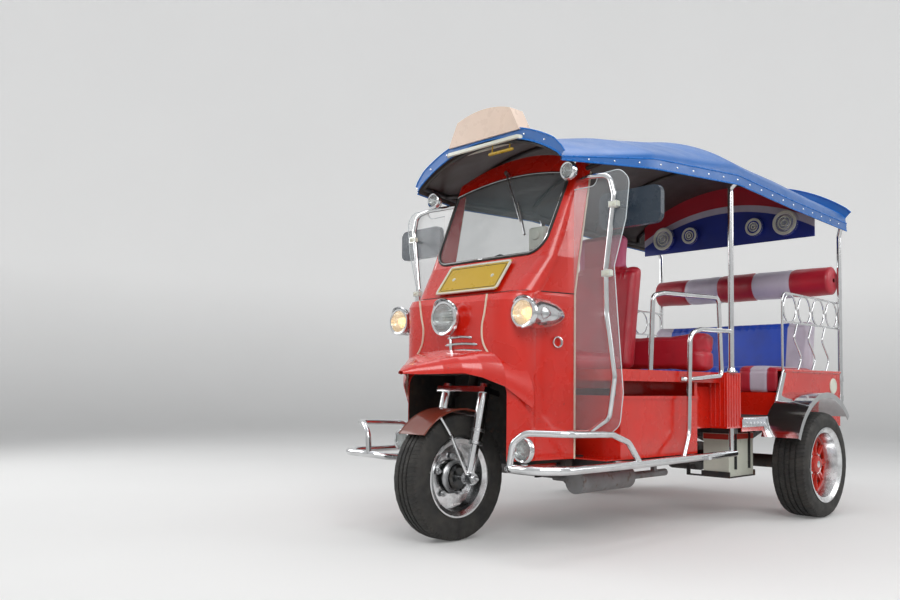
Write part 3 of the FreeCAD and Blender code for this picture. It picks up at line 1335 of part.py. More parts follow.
# Wheels
front_centre = (Size(0), Size(0), S.front_tyre_radius)
keep("front_rim", front_rim(front_centre), 0)
keep("front_tyre", tyre("front_tyre_body", front_centre, S.front_tyre_radius, S.front_tyre_width,
                        S.front_tyre_width / 2 - FRONT_RIM_INSET, S.front_rim_radius), 0)
rear_rim_half = S.rear_tyre_width / 2 - REAR_RIM_INSET
for side, suffix in zip(SIDES, ("left", "right")):
    centre = (S.rear_wheel_x * side, S.wheelbase, S.rear_tyre_radius)
    keep("rear_rim_" + suffix, rear_rim("rear_rim_" + suffix, centre, side < 0), S.wheelbase)
    keep("rear_tyre_" + suffix,
         tyre("rear_tyre_%s_body" % suffix, centre, S.rear_tyre_radius, S.rear_tyre_width, rear_rim_half,
              S.rear_rim_radius), S.wheelbase)

DOC.recompute()
os.makedirs("parts", exist_ok=True)
for obj in SUBPARTS:
    faults = [state for state in obj.State if state in ("Invalid", "Error")]
    if faults or obj.Shape.isNull() or not obj.Shape.isValid():
        raise RuntimeError("%s was not built: %s" % (obj.Label, obj.State))
    obj.Shape.exportStep("parts/%s.step" % obj.Label)
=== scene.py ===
"""Looks of the open taxi: paint, chrome, canvas, stitched seats, tyres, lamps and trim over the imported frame."""

import math

import bmesh
import bpy
from bpy.props import FloatProperty, FloatVectorProperty, IntProperty, PointerProperty
from mathutils import Matrix, Vector, noise


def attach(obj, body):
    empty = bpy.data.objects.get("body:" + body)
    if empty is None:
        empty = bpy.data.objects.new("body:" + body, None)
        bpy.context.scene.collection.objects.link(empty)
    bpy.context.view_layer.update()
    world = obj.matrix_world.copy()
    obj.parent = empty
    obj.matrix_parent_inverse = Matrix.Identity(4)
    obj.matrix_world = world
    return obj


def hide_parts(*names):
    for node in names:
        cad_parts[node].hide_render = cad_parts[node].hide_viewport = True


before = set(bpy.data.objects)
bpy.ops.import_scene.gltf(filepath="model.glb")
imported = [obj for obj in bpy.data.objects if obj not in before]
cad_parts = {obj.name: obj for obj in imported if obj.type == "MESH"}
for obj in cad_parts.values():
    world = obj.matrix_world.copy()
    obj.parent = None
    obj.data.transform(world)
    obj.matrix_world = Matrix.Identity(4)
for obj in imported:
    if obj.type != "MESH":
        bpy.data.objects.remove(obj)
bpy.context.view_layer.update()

bl_info = {
    "name": "Open Taxi Dressing",
    "version": (1, 0, 0),
    "blender": (4, 5, 0),
    "location": "View3D > Sidebar > Taxi",
    "description": "Builds the seats, roof, tyres, lamps, trim and finishes of an open three-wheeled taxi",
    "category": "Object",
}

# The front axle's place in the frame, the two sides of the taxi, a full turn and a quarter of it
AXLE_Y = -1.17575
SIDES = (1, -1)
SUFFIXES = ((1, "left"), (-1, "right"))
TURN = 2 * math.pi
QUARTER = math.pi / 2
FORWARD = (0, -1, 0)

# Middles of the wheels and of the bolster, in millimetres back from the front axle
FRONT_WHEEL = (0, 0, 268.5)
REAR_WHEEL = (719, 1900, 270.5)
ROLL = (0, 2547.5, 1300)


def at(x, y, z):
    """A point from millimetres, with y measured back from the front axle."""
    return Vector((x / 1000, y / 1000 + AXLE_Y, z / 1000))


def tint(label, default, note):
    """A colour setting."""
    return FloatVectorProperty(name=label, description=note, subtype="COLOR", size=3, min=0, max=1,
                               default=default)


def length(label, default, note):
    """A length setting in metres."""
    return FloatProperty(name=label, description=note, subtype="DISTANCE", unit="LENGTH", default=default)


class TaxiColours(bpy.types.PropertyGroup):
    """Colours of the paint, canvas, leathercloth and trim."""
    paint: tint("Body paint", (0.68, 0.013, 0.003), "Glossy orange red of the nose, boxes and tub")
    roof: tint("Roof", (0.003, 0.120, 0.42), "Coated canvas of the roof")
    lining: tint("Roof lining", (0.040, 0.026, 0.020), "Dark cloth under the roof")
    piping: tint("Piping", (0.78, 0.66, 0.52), "Cream beading along the panel edges")
    plate: tint("Plate", (0.60, 0.38, 0.02), "Blank yellow plate")
    pale: tint("Pale enamel", (0.72, 0.74, 0.64), "Frame of the plate and case of the battery")
    sign: tint("Lamp box", (0.80, 0.62, 0.50), "Warm white lamp box on the roof")
    red_seat: tint("Red leathercloth", (0.50, 0.012, 0.030), "Driver's seat, pads and stripes")
    blue_seat: tint("Blue leathercloth", (0.012, 0.075, 0.56), "Bench")
    white_seat: tint("White leathercloth", (0.66, 0.60, 0.70), "Side panels and stripes")
    pink_seat: tint("Pink leathercloth", (0.62, 0.10, 0.22), "Sides of the headrest")
    chrome: tint("Chrome", (0.74, 0.75, 0.76), "Bright plating")
    rubber: tint("Rubber", (0.016, 0.016, 0.016), "Tyres and gaskets")
    amber: tint("Amber", (0.85, 0.26, 0.01), "Side lamps")


class TaxiTrim(bpy.types.PropertyGroup):
    """Sizes of the trim."""
    piping: length("Piping radius", 0.0045, "Half the thickness of the cream beading")
    gasket: length("Gasket width", 0.016, "Rubber round the windscreen")
    stud: length("Stud radius", 0.0048, "Studs of the roof's edge band")
    stud_pitch: length("Stud spacing", 0.105, "From stud to stud")
    hem: length("Hem height", 0.044, "Edge band of the roof")
    edge: length("Edge trim radius", 0.0065, "Bright strips along the tub's doorways")


class TaxiSeats(bpy.types.PropertyGroup):
    """Sizes of the padded parts."""
    channel_pitch: length("Channel spacing", 0.046, "From one sewn channel to the next")
    channel_depth: length("Channel depth", 0.007, "How far a sewn channel pulls in")
    seam_depth: length("Seam depth", 0.006, "How far a seam pulls in")
    voxel: length("Voxel", 0.012, "Fineness of the padded meshes")
    frames: IntProperty(name="Cloth steps", description="Steps of the inflation", default=14, min=2, max=60)
    pressure: FloatProperty(name="Pressure", description="Inflation of the covers", default=4.0, min=0, max=20)


class TaxiTyres(bpy.types.PropertyGroup):
    """Sizes of the tread."""
    groove_depth: length("Groove depth", 0.008, "Depth of the grooves round the tyres")
    groove_width: length("Groove width", 0.009, "Width of the grooves round the tyres")
    segments: IntProperty(name="Segments", description="Steps round a tyre", default=35, min=16, max=64)


class TaxiStage(bpy.types.PropertyGroup):
    """Light and floor."""
    floor: tint("Floor", (0.74, 0.74, 0.73), "Plain pale floor and backdrop")
    key: FloatProperty(name="Key light", description="Watts of the large front light", default=215, min=0)
    fill: FloatProperty(name="Fill light", description="Watts of the side lights", default=95, min=0)
    sky: FloatProperty(name="Sky", description="Strength of the surrounding light", default=0.42, min=0)
    lens: FloatProperty(name="Lens", description="Focal length", unit="CAMERA", default=33.77)


GROUPS = {"taxi_colours": TaxiColours, "taxi_trim": TaxiTrim, "taxi_seats": TaxiSeats, "taxi_tyres": TaxiTyres,
          "taxi_stage": TaxiStage}


# Finishes

# Colours of the light from a bulb and from a lit lamp's glass
BULB_GLOW = (1.0, 0.62, 0.25)
GLASS_GLOW = (1.0, 0.70, 0.38)


class Finish:
    """A procedural material under construction, with its pattern in the object's own coordinates."""

    def __init__(self, name, colour=(0.5, 0.5, 0.5), **fixed):
        self.material = bpy.data.materials.new(name)
        self.material.use_nodes = True
        self.nodes = self.material.node_tree.nodes
        self.links = self.material.node_tree.links
        self.shader = self.nodes["Principled BSDF"]
        self.fix("Base Color", (*colour, 1))
        for socket, value in fixed.items():
            self.fix(socket.replace("_", " "), value)
        self.where = self.add("ShaderNodeTexCoord").outputs["Object"]
        self.x, self.y, self.z = self.add("ShaderNodeSeparateXYZ", [self.where]).outputs
        self.relief = None

    def fix(self, socket, value):
        self.shader.inputs[socket].default_value = value

    def add(self, kind, inputs=(), **props):
        node = self.nodes.new(kind)
        for key, value in props.items():
            setattr(node, key, value)
        for index, value in enumerate(inputs):
            self.plug(node.inputs[index], value)
        return node

    def plug(self, socket, value):
        if isinstance(value, bpy.types.NodeSocket):
            self.links.new(value, socket)
        elif value is not None:
            socket.default_value = value

    def set(self, socket, value):
        self.plug(self.shader.inputs[socket], value)

    def noise(self, scale, detail=3.0, rough=0.55, where=None):
        return self.add("ShaderNodeTexNoise", [where or self.where, None, scale, detail, rough]).outputs[0]

    def cells(self, scale, where=None, feature="F1"):
        node = self.add("ShaderNodeTexVoronoi", [where or self.where, None, scale], feature=feature)
        return node.outputs["Distance"]

    def math(self, operation, *values):
        return self.add("ShaderNodeMath", values, operation=operation).outputs[0]

    def span(self, value, low, high, out_low=0.0, out_high=1.0):
        return self.add("ShaderNodeMapRange", [value, low, high, out_low, out_high]).outputs[0]

    def inside(self, value, low, high, soft=0.002):
        """1 between two limits and 0 outside them."""
        rise = self.span(value, low - soft, low + soft)
        return self.math("MULTIPLY", rise, self.span(value, high - soft, high + soft, 1.0, 0.0))

    def across(self, middle):
        """Distance from the x axis through a place."""
        back = self.math("POWER", self.math("SUBTRACT", self.y, middle.y), 2.0)
        up = self.math("POWER", self.math("SUBTRACT", self.z, middle.z), 2.0)
        return self.math("SQRT", self.math("ADD", back, up))

    def mix(self, factor, first, second):
        node = self.add("ShaderNodeMix", data_type="RGBA")
        for index, value in ((0, factor), (6, first), (7, second)):
            if isinstance(value, (tuple, list)):
                value = (*value[:3], 1)
            self.plug(node.inputs[index], value)
        return node.outputs[2]

    def bump(self, height, strength, distance):
        node = self.add("ShaderNodeBump")
        for socket, value in (("Strength", strength), ("Distance", distance), ("Height", height),
                              ("Normal", self.relief)):
            self.plug(node.inputs[socket], value)
        self.relief = node.outputs[0]
        self.set("Normal", self.relief)
        return self


def shade(colour, factor):
    """A colour made darker or lighter."""
    return tuple(min(1.0, channel * factor) for channel in colour)


def paint(name, colour, gloss=0.2, dust=0.22):
    """Glossy paint with an orange-peel skin, shallow dents, faded patches and road dust low down."""
    f = Finish(name, colour, Coat_Weight=0.6, Coat_Roughness=0.06)
    tone = f.mix(f.span(f.noise(1.7), 0.35, 0.68), shade(colour, 0.86), shade(colour, 1.06))
    low = f.math("MULTIPLY", f.span(f.z, 0.75, 0.25), f.span(f.noise(11, 5), 0.40, 0.72, 0.0, dust))
    tone = f.mix(low, tone, (0.17, 0.08, 0.05))
    chips = f.math("MULTIPLY", f.span(f.noise(46, 4), 0.715, 0.735), f.span(f.z, 1.1, 0.4, 0.0, 0.8))
    f.set("Base Color", f.mix(chips, tone, (0.06, 0.035, 0.03)))
    f.set("Roughness", f.span(f.noise(8, 5), 0.3, 0.7, gloss, gloss + 0.16))
    f.bump(f.noise(2.1, 2), 0.35, 0.010)
    return f.bump(f.noise(260, 2), 0.06, 0.001).material


def chrome(name, colour, rough=0.07, rust=0.5):
    """Bright plating with a faint haze, fine scratches and rust freckles."""
    f = Finish(name, colour, Metallic=1.0)
    haze = f.noise(13, 5)
    tone = f.mix(f.span(haze, 0.3, 0.75), colour, shade(colour, 0.80))
    spots = f.span(f.noise(95, 5), 0.66, 0.74)
    freckle = f.math("MULTIPLY", spots, f.span(f.noise(4), 0.45, 0.65, 0.0, rust))
    f.set("Base Color", f.mix(freckle, tone, (0.20, 0.085, 0.035)))
    f.set("Roughness", f.math("ADD", f.span(haze, 0.3, 0.8, rough, rough + 0.13), freckle))
    return f.bump(f.noise(60, 3), 0.04, 0.001).material


def iron(name, colour, rough=0.5):
    """Satin black or grey metal with brush marks, dust and rust."""
    f = Finish(name, colour)
    tone = f.mix(f.span(f.noise(6, 6), 0.4, 0.75, 0.0, 0.55), colour, (0.10, 0.070, 0.050))
    rust = f.math("MULTIPLY", f.span(f.noise(21, 6), 0.58, 0.68), f.span(f.z, 0.9, 0.3, 0.1, 0.75))
    f.set("Base Color", f.mix(rust, tone, (0.115, 0.045, 0.020)))
    f.set("Roughness", f.span(f.noise(33, 4), 0.3, 0.7, rough - 0.12, rough + 0.2))
    return f.bump(f.noise(140, 4), 0.25, 0.001).material


def leather(name, colour, bands=(), grain=620):
    """Leathercloth: pebbled grain, rubbed spots, faint creases; bands are (mask maker, colour)."""
    f = Finish(name, colour, Coat_Weight=0.12, Coat_Roughness=0.3, Sheen_Weight=0.1)
    tone = colour
    for mask, other in bands:
        tone = f.mix(mask(f), tone, other)
    rubbed = f.span(f.noise(5.5, 5), 0.42, 0.75, 0.0, 0.30)
    f.set("Base Color", f.mix(rubbed, tone, (0.03, 0.02, 0.025)))
    f.set("Roughness", f.span(f.noise(18, 4), 0.3, 0.7, 0.30, 0.52))
    f.bump(f.noise(24, 5), 0.30, 0.003)
    return f.bump(f.cells(grain), 0.35, 0.0006).material


def canvas(name, colour, weave=900, gloss=0.34, grime=0.25):
    """Coated cloth: fine weave under a plastic skin, soft puckers, water marks and dirt."""
    f = Finish(name, colour, Coat_Weight=0.25, Coat_Roughness=0.25, Sheen_Weight=0.05)
    tone = f.mix(f.span(f.noise(1.3, 4), 0.35, 0.7), shade(colour, 0.82), shade(colour, 1.12))
    stains = f.span(f.noise(5, 6), 0.5, 0.8, 0.0, grime)
    marks = f.math("MULTIPLY", stains, f.span(f.noise(0.8), 0.4, 0.6))
    f.set("Base Color", f.mix(marks, tone, (0.18, 0.18, 0.18)))
    f.set("Roughness", f.span(f.noise(9, 4), 0.3, 0.7, gloss, gloss + 0.2))
    warp = f.math("SINE", f.math("MULTIPLY", f.x, weave * 4.0))
    weft = f.math("SINE", f.math("MULTIPLY", f.y, weave * 4.0))
    f.bump(f.noise(7, 4), 0.30, 0.004)
    return f.bump(f.math("MULTIPLY", warp, weft), 0.12, 0.0004).material


def pane(name, colour, clear=0.05, edge=0.55):
    """Thin glass or acrylic: see-through face on, brighter at a glance, with dust and smears."""
    f = Finish(name, colour, Specular_IOR_Level=0.6)
    glance = f.add("ShaderNodeLayerWeight", [0.32]).outputs["Facing"]
    film = f.span(f.noise(3.2, 6), 0.45, 0.8, 0.0, 0.09)
    f.set("Alpha", f.math("ADD", f.span(glance, 0.0, 1.0, clear, edge), film))
    f.set("Roughness", f.span(f.noise(26, 5), 0.4, 0.75, 0.03, 0.16))
    return f.bump(f.noise(3, 2), 0.05, 0.002).material


def lens(name, colour, ribs=230.0, glow=0.0, glow_colour=BULB_GLOW, clear=0.75):
    """Pressed lamp glass with flutes and small blocks."""
    f = Finish(name, colour, Transmission_Weight=clear, IOR=1.47, Coat_Weight=0.4)
    if glow:
        f.fix("Emission Color", (*glow_colour, 1))
        f.set("Emission Strength", f.span(f.noise(31, 2), 0.3, 0.7, glow * 0.75, glow * 1.15))
    f.set("Base Color", f.mix(f.span(f.noise(70), 0.35, 0.65), colour, shade(colour, 0.84)))
    f.set("Roughness", f.span(f.noise(40, 3), 0.3, 0.7, 0.04, 0.14))
    flutes = f.math("SINE", f.math("MULTIPLY", f.x, ribs * TURN))
    blocks = f.math("SINE", f.math("MULTIPLY", f.z, ribs * 0.35 * TURN))
    return f.bump(f.math("ADD", flutes, blocks), 0.5, 0.0015).material


def plastic(name, colour, rough=0.38, grain=500, dirt=0.3):
    """Moulded plastic or enamel: fine spark grain, handling marks and settled dust."""
    f = Finish(name, colour)
    grime = f.span(f.noise(7, 6), 0.45, 0.8, 0.0, dirt)
    f.set("Base Color", f.mix(grime, colour, shade(colour, 0.55)))
    f.set("Roughness", f.span(f.noise(15, 4), 0.3, 0.7, rough - 0.08, rough + 0.14))
    return f.bump(f.noise(grain, 2), 0.15, 0.0006).material


def rubber(name, colour, centre=None, blocks=64, tread=0.0):
    """Dusty rubber; given a wheel's centre, fine rings on the sidewall and cuts across the tread."""
    f = Finish(name, colour)
    dust = f.span(f.noise(14, 6), 0.35, 0.7, 0.06, 0.55)
    f.set("Base Color", f.mix(dust, colour, (0.060, 0.054, 0.046)))
    f.set("Roughness", f.span(f.noise(30, 4), 0.3, 0.7, 0.60, 0.85))
    if centre is not None:
        up = f.math("SUBTRACT", f.z, centre.z)
        back = f.math("SUBTRACT", f.y, centre.y)
        angle = f.math("ARCTAN2", up, back)
        out = f.across(centre)
        across = f.math("ABSOLUTE", f.math("SUBTRACT", f.x, centre.x))
        skew = f.math("MULTIPLY", across, 90.0)
        teeth = f.math("SINE", f.math("ADD", f.math("MULTIPLY", angle, float(blocks)), skew))
        near_tread = f.span(out, tread - 0.018, tread - 0.006)
        cuts = f.math("MULTIPLY", f.span(teeth, -0.70, -0.35, 1.0, 0.0), near_tread)
        f.bump(f.math("SINE", f.math("MULTIPLY", out, 900.0)), 0.10, 0.0008)
        f.bump(f.math("SUBTRACT", 1.0, cuts), 1.0, 0.008)
    return f.bump(f.noise(180, 3), 0.2, 0.0008).material


# Meshes

# Radius that stands for a point on an axis, and the distance under which points are one
POINT_RADIUS = 0.00005
SAME_POINT = 0.00002


class Shell:
    """Faces gathered from several forms, then made into one piece that rides on a body."""

    def __init__(self):
        self.points = []
        self.faces = []

    def add(self, points, faces):
        start = len(self.points)
        self.points.extend(points)
        self.faces.extend([tuple(start + index for index in face) for face in faces])
        return self

    def grid(self, rows, wrap=False, cap=False):
        """Quads between rows of points; wrap closes each row, cap closes both ends."""
        across = len(rows[0])
        steps = across if wrap else across - 1
        faces = []
        for low in range(0, (len(rows) - 1) * across, across):
            high = low + across
            faces += [(low + j, low + (j + 1) % across, high + (j + 1) % across, high + j) for j in range(steps)]
        if cap:
            faces.append(tuple(range(across))[::-1])
            faces.append(tuple((len(rows) - 1) * across + j for j in range(across)))
        return self.add([point for row in rows for point in row], faces)

    def lathe(self, profile, centre, axis, segments=40):
        """A profile of (along, radius) in metres turned about an axis through a point."""
        axis = Vector(axis).normalized()
        side = axis.orthogonal().normalized()
        other = axis.cross(side)
        turns = [TURN * k / segments for k in range(segments)]
        round_line = [side * math.cos(angle) + other * math.sin(angle) for angle in turns]
        rows = [[centre + axis * along + out * max(radius, POINT_RADIUS) for out in round_line]
                for along, radius in profile]
        return self.grid(rows, wrap=True)

    def tube(self, path, radius, sides=10, closed=False, cap=True):
        """A round bar along points; radius is one number or one for each point."""
        section = [(math.cos(TURN * k / sides), math.sin(TURN * k / sides)) for k in range(sides)]
        return self.sweep(path, section, radius, closed, cap)

    def sweep(self, path, section, size=1.0, closed=False, cap=True, up=None):
        """A closed section carried along points, with no twist, or with its second axis near up."""
        count = len(path)
        sizes = size if hasattr(size, "__len__") else [size] * count
        rows = []
        side = None
        for k in range(count):
            before = path[k - 1] if closed or k else path[0]
            after = path[(k + 1) % count] if closed or k < count - 1 else path[-1]
            along = (after - before).normalized()
            if up is not None:
                side = along.cross(Vector(up)).normalized()
            elif side is None:
                side = along.orthogonal().normalized()
            else:
                side = (side - along * side.dot(along)).normalized()
            lift = side.cross(along)
            rows.append([path[k] + side * (a * sizes[k]) + lift * (b * sizes[k]) for a, b in section])
        if closed:
            rows.append(rows[0])
        return self.grid(rows, wrap=True, cap=cap and not closed)

    def block(self, low, high, bevel=0.0):
        """A box between two corners with chamfered edges."""
        middle = (low + high) / 2
        half = (high - low) / 2
        b = min(bevel, min(half) * 0.9)
        if not b:
            corners = [middle + Vector((x * half.x, y * half.y, z * half.z)) for x in (-1, 1) for y in (-1, 1)
                       for z in (-1, 1)]
            return self.add(corners, [(0, 1, 3, 2), (4, 6, 7, 5), (0, 4, 5, 1), (2, 3, 7, 6), (0, 2, 6, 4),
                                      (1, 5, 7, 3)])
        # right or left, back or front, and whether the chamfer's cut is along x
        corners = ((1, -1, 0), (1, 1, 0), (1, 1, 1), (-1, 1, 1), (-1, 1, 0), (-1, -1, 0), (-1, -1, 1), (1, -1, 1))

        def ring(z, inset):
            return [middle + Vector((x * (half.x - inset - b * along_x), y * (half.y - inset - b * (1 - along_x)), z))
                    for x, y, along_x in corners]
        rows = [ring(-half.z, b), ring(b - half.z, 0), ring(half.z - b, 0), ring(half.z, b)]
        return self.grid(rows, wrap=True, cap=True)

    def bolt(self, centre, axis, radius=0.008, height=0.006):
        """A hexagon head on a washer."""
        washer = [(0, radius * 1.5), (height * 0.3, radius * 1.5), (height * 0.3, radius * 0.5)]
        head = [(height * 0.2, radius), (height, radius), (height * 1.15, radius * 0.8), (height * 1.15, 0)]
        self.lathe(washer, centre, axis, 16)
        return self.lathe(head, centre, axis, 6)

    def piece(self, name, material, body="body", slot=None, replaces=(), smooth=38.0):
        """Make the gathered faces one object; smooth is the angle above which an edge stays sharp."""
        mesh = bpy.data.meshes.new(name)
        mesh.from_pydata([tuple(point) for point in self.points], [], self.faces)
        mesh.validate()
        made = bpy.data.objects.new(name, mesh)
        bpy.context.scene.collection.objects.link(made)
        mesh.materials.append(material)
        tidy_mesh(made, smooth)
        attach(made, body)
        if replaces:
            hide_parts(*replaces)
        return made


def tidy_mesh(made, smooth):
    """Merge doubled points, face every side outward and smooth all but sharp edges."""
    work = bmesh.new()
    work.from_mesh(made.data)
    bmesh.ops.remove_doubles(work, verts=work.verts, dist=SAME_POINT)
    bmesh.ops.recalc_face_normals(work, faces=work.faces)
    work.to_mesh(made.data)
    work.free()
    made.data.shade_smooth()
    made.data.set_sharp_from_angle(angle=math.radians(smooth))


def curve_points(corners, steps=8):
    """Points of a smooth line through corners."""
    corners = [Vector(corner) for corner in corners]
    padded = [corners[0] * 2 - corners[1]] + corners + [corners[-1] * 2 - corners[-2]]
    points = []
    for a, b, c, d in zip(padded, padded[1:], padded[2:], padded[3:]):
        for k in range(steps):
            t = k / steps
            points.append(0.5 * ((2 * b) + (c - a) * t + (2 * a - 5 * b + 4 * c - d) * t ** 2
                                 + (3 * b - a - 3 * c + d) * t ** 3))
    return points + [corners[-1]]


def rounded(corners, radius, steps=5):
    """Flat corner points with each inner corner turned into an arc, as large as its two runs allow."""
    points = [corners[0]]
    for before, here, after in zip(corners, corners[1:], corners[2:]):
        into = Vector(before) - Vector(here)
        out = Vector(after) - Vector(here)
        half_turn = (math.pi - into.angle(out)) / 2
        cut = min(radius * math.tan(half_turn), 0.45 * min(into.length, out.length))
        start = Vector(here) + into.normalized() * cut
        end = Vector(here) + out.normalized() * cut
        for k in range(steps + 1):
            t = k / steps
            points.append(tuple(start * (1 - t) ** 2 + Vector(here) * (2 * t * (1 - t)) + end * t ** 2))
    return points + [corners[-1]]


def rear_middle(side):
    """Middle of a rear wheel."""
    across, back, up = REAR_WHEEL
    return at(across * side, back, up)


def spoke(k, count, start=0.5):
    """Direction of one of the even places round a wheel."""
    angle = TURN * (k + start) / count
    return Vector((0, math.sin(angle), math.cos(angle)))


def mirrored(points):
    """The same points on the other side."""
    return [Vector((-point.x, point.y, point.z)) for point in points]


def rounded_box(wide, high, radius, steps):
    """Flat points round a box with round corners, from low on the right; radius may differ in its axes."""
    across, up = radius
    line = []
    for x, y, turn in ((1, 0, -0.25), (1, 1, 0.0), (-1, 1, 0.25), (-1, 0, 0.5)):
        for k in range(steps):
            angle = TURN * (turn + k / (4 * (steps - 1)))
            line.append((x * wide + across * math.cos(angle), high[y] + up * math.sin(angle)))
    return line


def both(points):
    """A line and its mirror image."""
    return (list(points), mirrored(points))


# Settings of the scene, read by every operator

def settings(name):
    """One group of the scene's settings."""
    return getattr(bpy.context.scene, name)


class Palette:
    """Finishes shared by the pieces, made once."""
    made = {}

    @classmethod
    def get(cls, key):
        if key not in cls.made:
            cls.made[key] = cls.build(key, settings("taxi_colours"))
        return cls.made[key]

    @staticmethod
    def build(key, c):
        makers = {
            "paint": lambda: paint("glossy_red_paint", tuple(c.paint)),
            "mudguard": lambda: paint("weathered_red_paint", (0.20, 0.030, 0.012), 0.38, 0.9),
            "black": lambda: iron("satin_black_metal", (0.018, 0.018, 0.020)),
            "liner": lambda: iron("undercoat", (0.014, 0.014, 0.014), 0.7),
            "engine": lambda: iron("cast_alloy", (0.23, 0.23, 0.235), 0.5),
            "chrome": lambda: chrome("chrome", tuple(c.chrome)),
            "steel": lambda: chrome("dull_steel", shade(tuple(c.chrome), 0.72), 0.24, 0.8),
            "canvas": lambda: canvas("blue_coated_canvas", tuple(c.roof)),
            "lining": lambda: canvas("dark_lining", tuple(c.lining), 500, 0.6, 0.5),
            "piping": lambda: plastic("cream_piping", tuple(c.piping), 0.3, 300, 0.4),
            "plate": lambda: plastic("yellow_enamel", tuple(c.plate), 0.3, 420, 0.25),
            "pale": lambda: plastic("pale_enamel", tuple(c.pale), 0.32, 420, 0.3),
            "sign": lambda: plastic("warm_white_acrylic", tuple(c.sign), 0.28, 420, 0.22),
            "red": lambda: leather("red_leathercloth", tuple(c.red_seat)),
            "blue": lambda: leather("blue_leathercloth", tuple(c.blue_seat)),
            "gasket": lambda: rubber("gasket_rubber", tuple(c.rubber)),
            "glass": lambda: pane("windscreen_glass", (0.20, 0.24, 0.25)),
            "acrylic": lambda: pane("clear_acrylic", (0.62, 0.66, 0.68), 0.06),
            "clear": lambda: lens("clear_lamp_glass", (0.86, 0.92, 0.90)),
            "warm": lambda: lens("lit_lamp_glass", (0.95, 0.84, 0.66), 120.0, 0.28, GLASS_GLOW),
            "amber": lambda: lens("amber_lamp_glass", tuple(c.amber), 260.0, 0.16, (1.0, 0.30, 0.02), 0.15),
            "red_lens": lambda: lens("red_lamp_glass", (0.60, 0.012, 0.012), 260.0, 0.08,
                                     (1.0, 0.03, 0.02), 0.12),
            "mirror": lambda: chrome("mirror_glass", (0.82, 0.84, 0.86), 0.015, 0.0),
            "mirror_back": lambda: plastic("black_mirror_shell", (0.020, 0.035, 0.055), 0.25, 700, 0.4),
            "bakelite": lambda: plastic("black_plastic", (0.018, 0.018, 0.02), 0.35, 700, 0.5),
            "red_plastic": lambda: plastic("red_plastic", (0.56, 0.035, 0.02), 0.36, 500, 0.35),
        }
        return makers[key]()


def dress(node, key):
    """Give a CAD node the scene's finish through its material slots."""
    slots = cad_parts[node].material_slots
    for slot in slots:
        slot.material = Palette.get(key) if isinstance(key, str) else key
    if not len(slots):
        raise RuntimeError("%s has no material slot" % node)


def seen_rays(nodes, links):
    """1 for what the camera, gloss and glass see and 0 for the light that falls on surfaces."""
    rays = nodes.new("ShaderNodeLightPath").outputs
    seen = rays["Is Camera Ray"]
    for kind in ("Is Glossy Ray", "Is Transmission Ray"):
        either = nodes.new("ShaderNodeMath")
        either.operation = "MAXIMUM"
        links.new(seen, either.inputs[0])
        links.new(rays[kind], either.inputs[1])
        seen = either.outputs[0]
    return seen


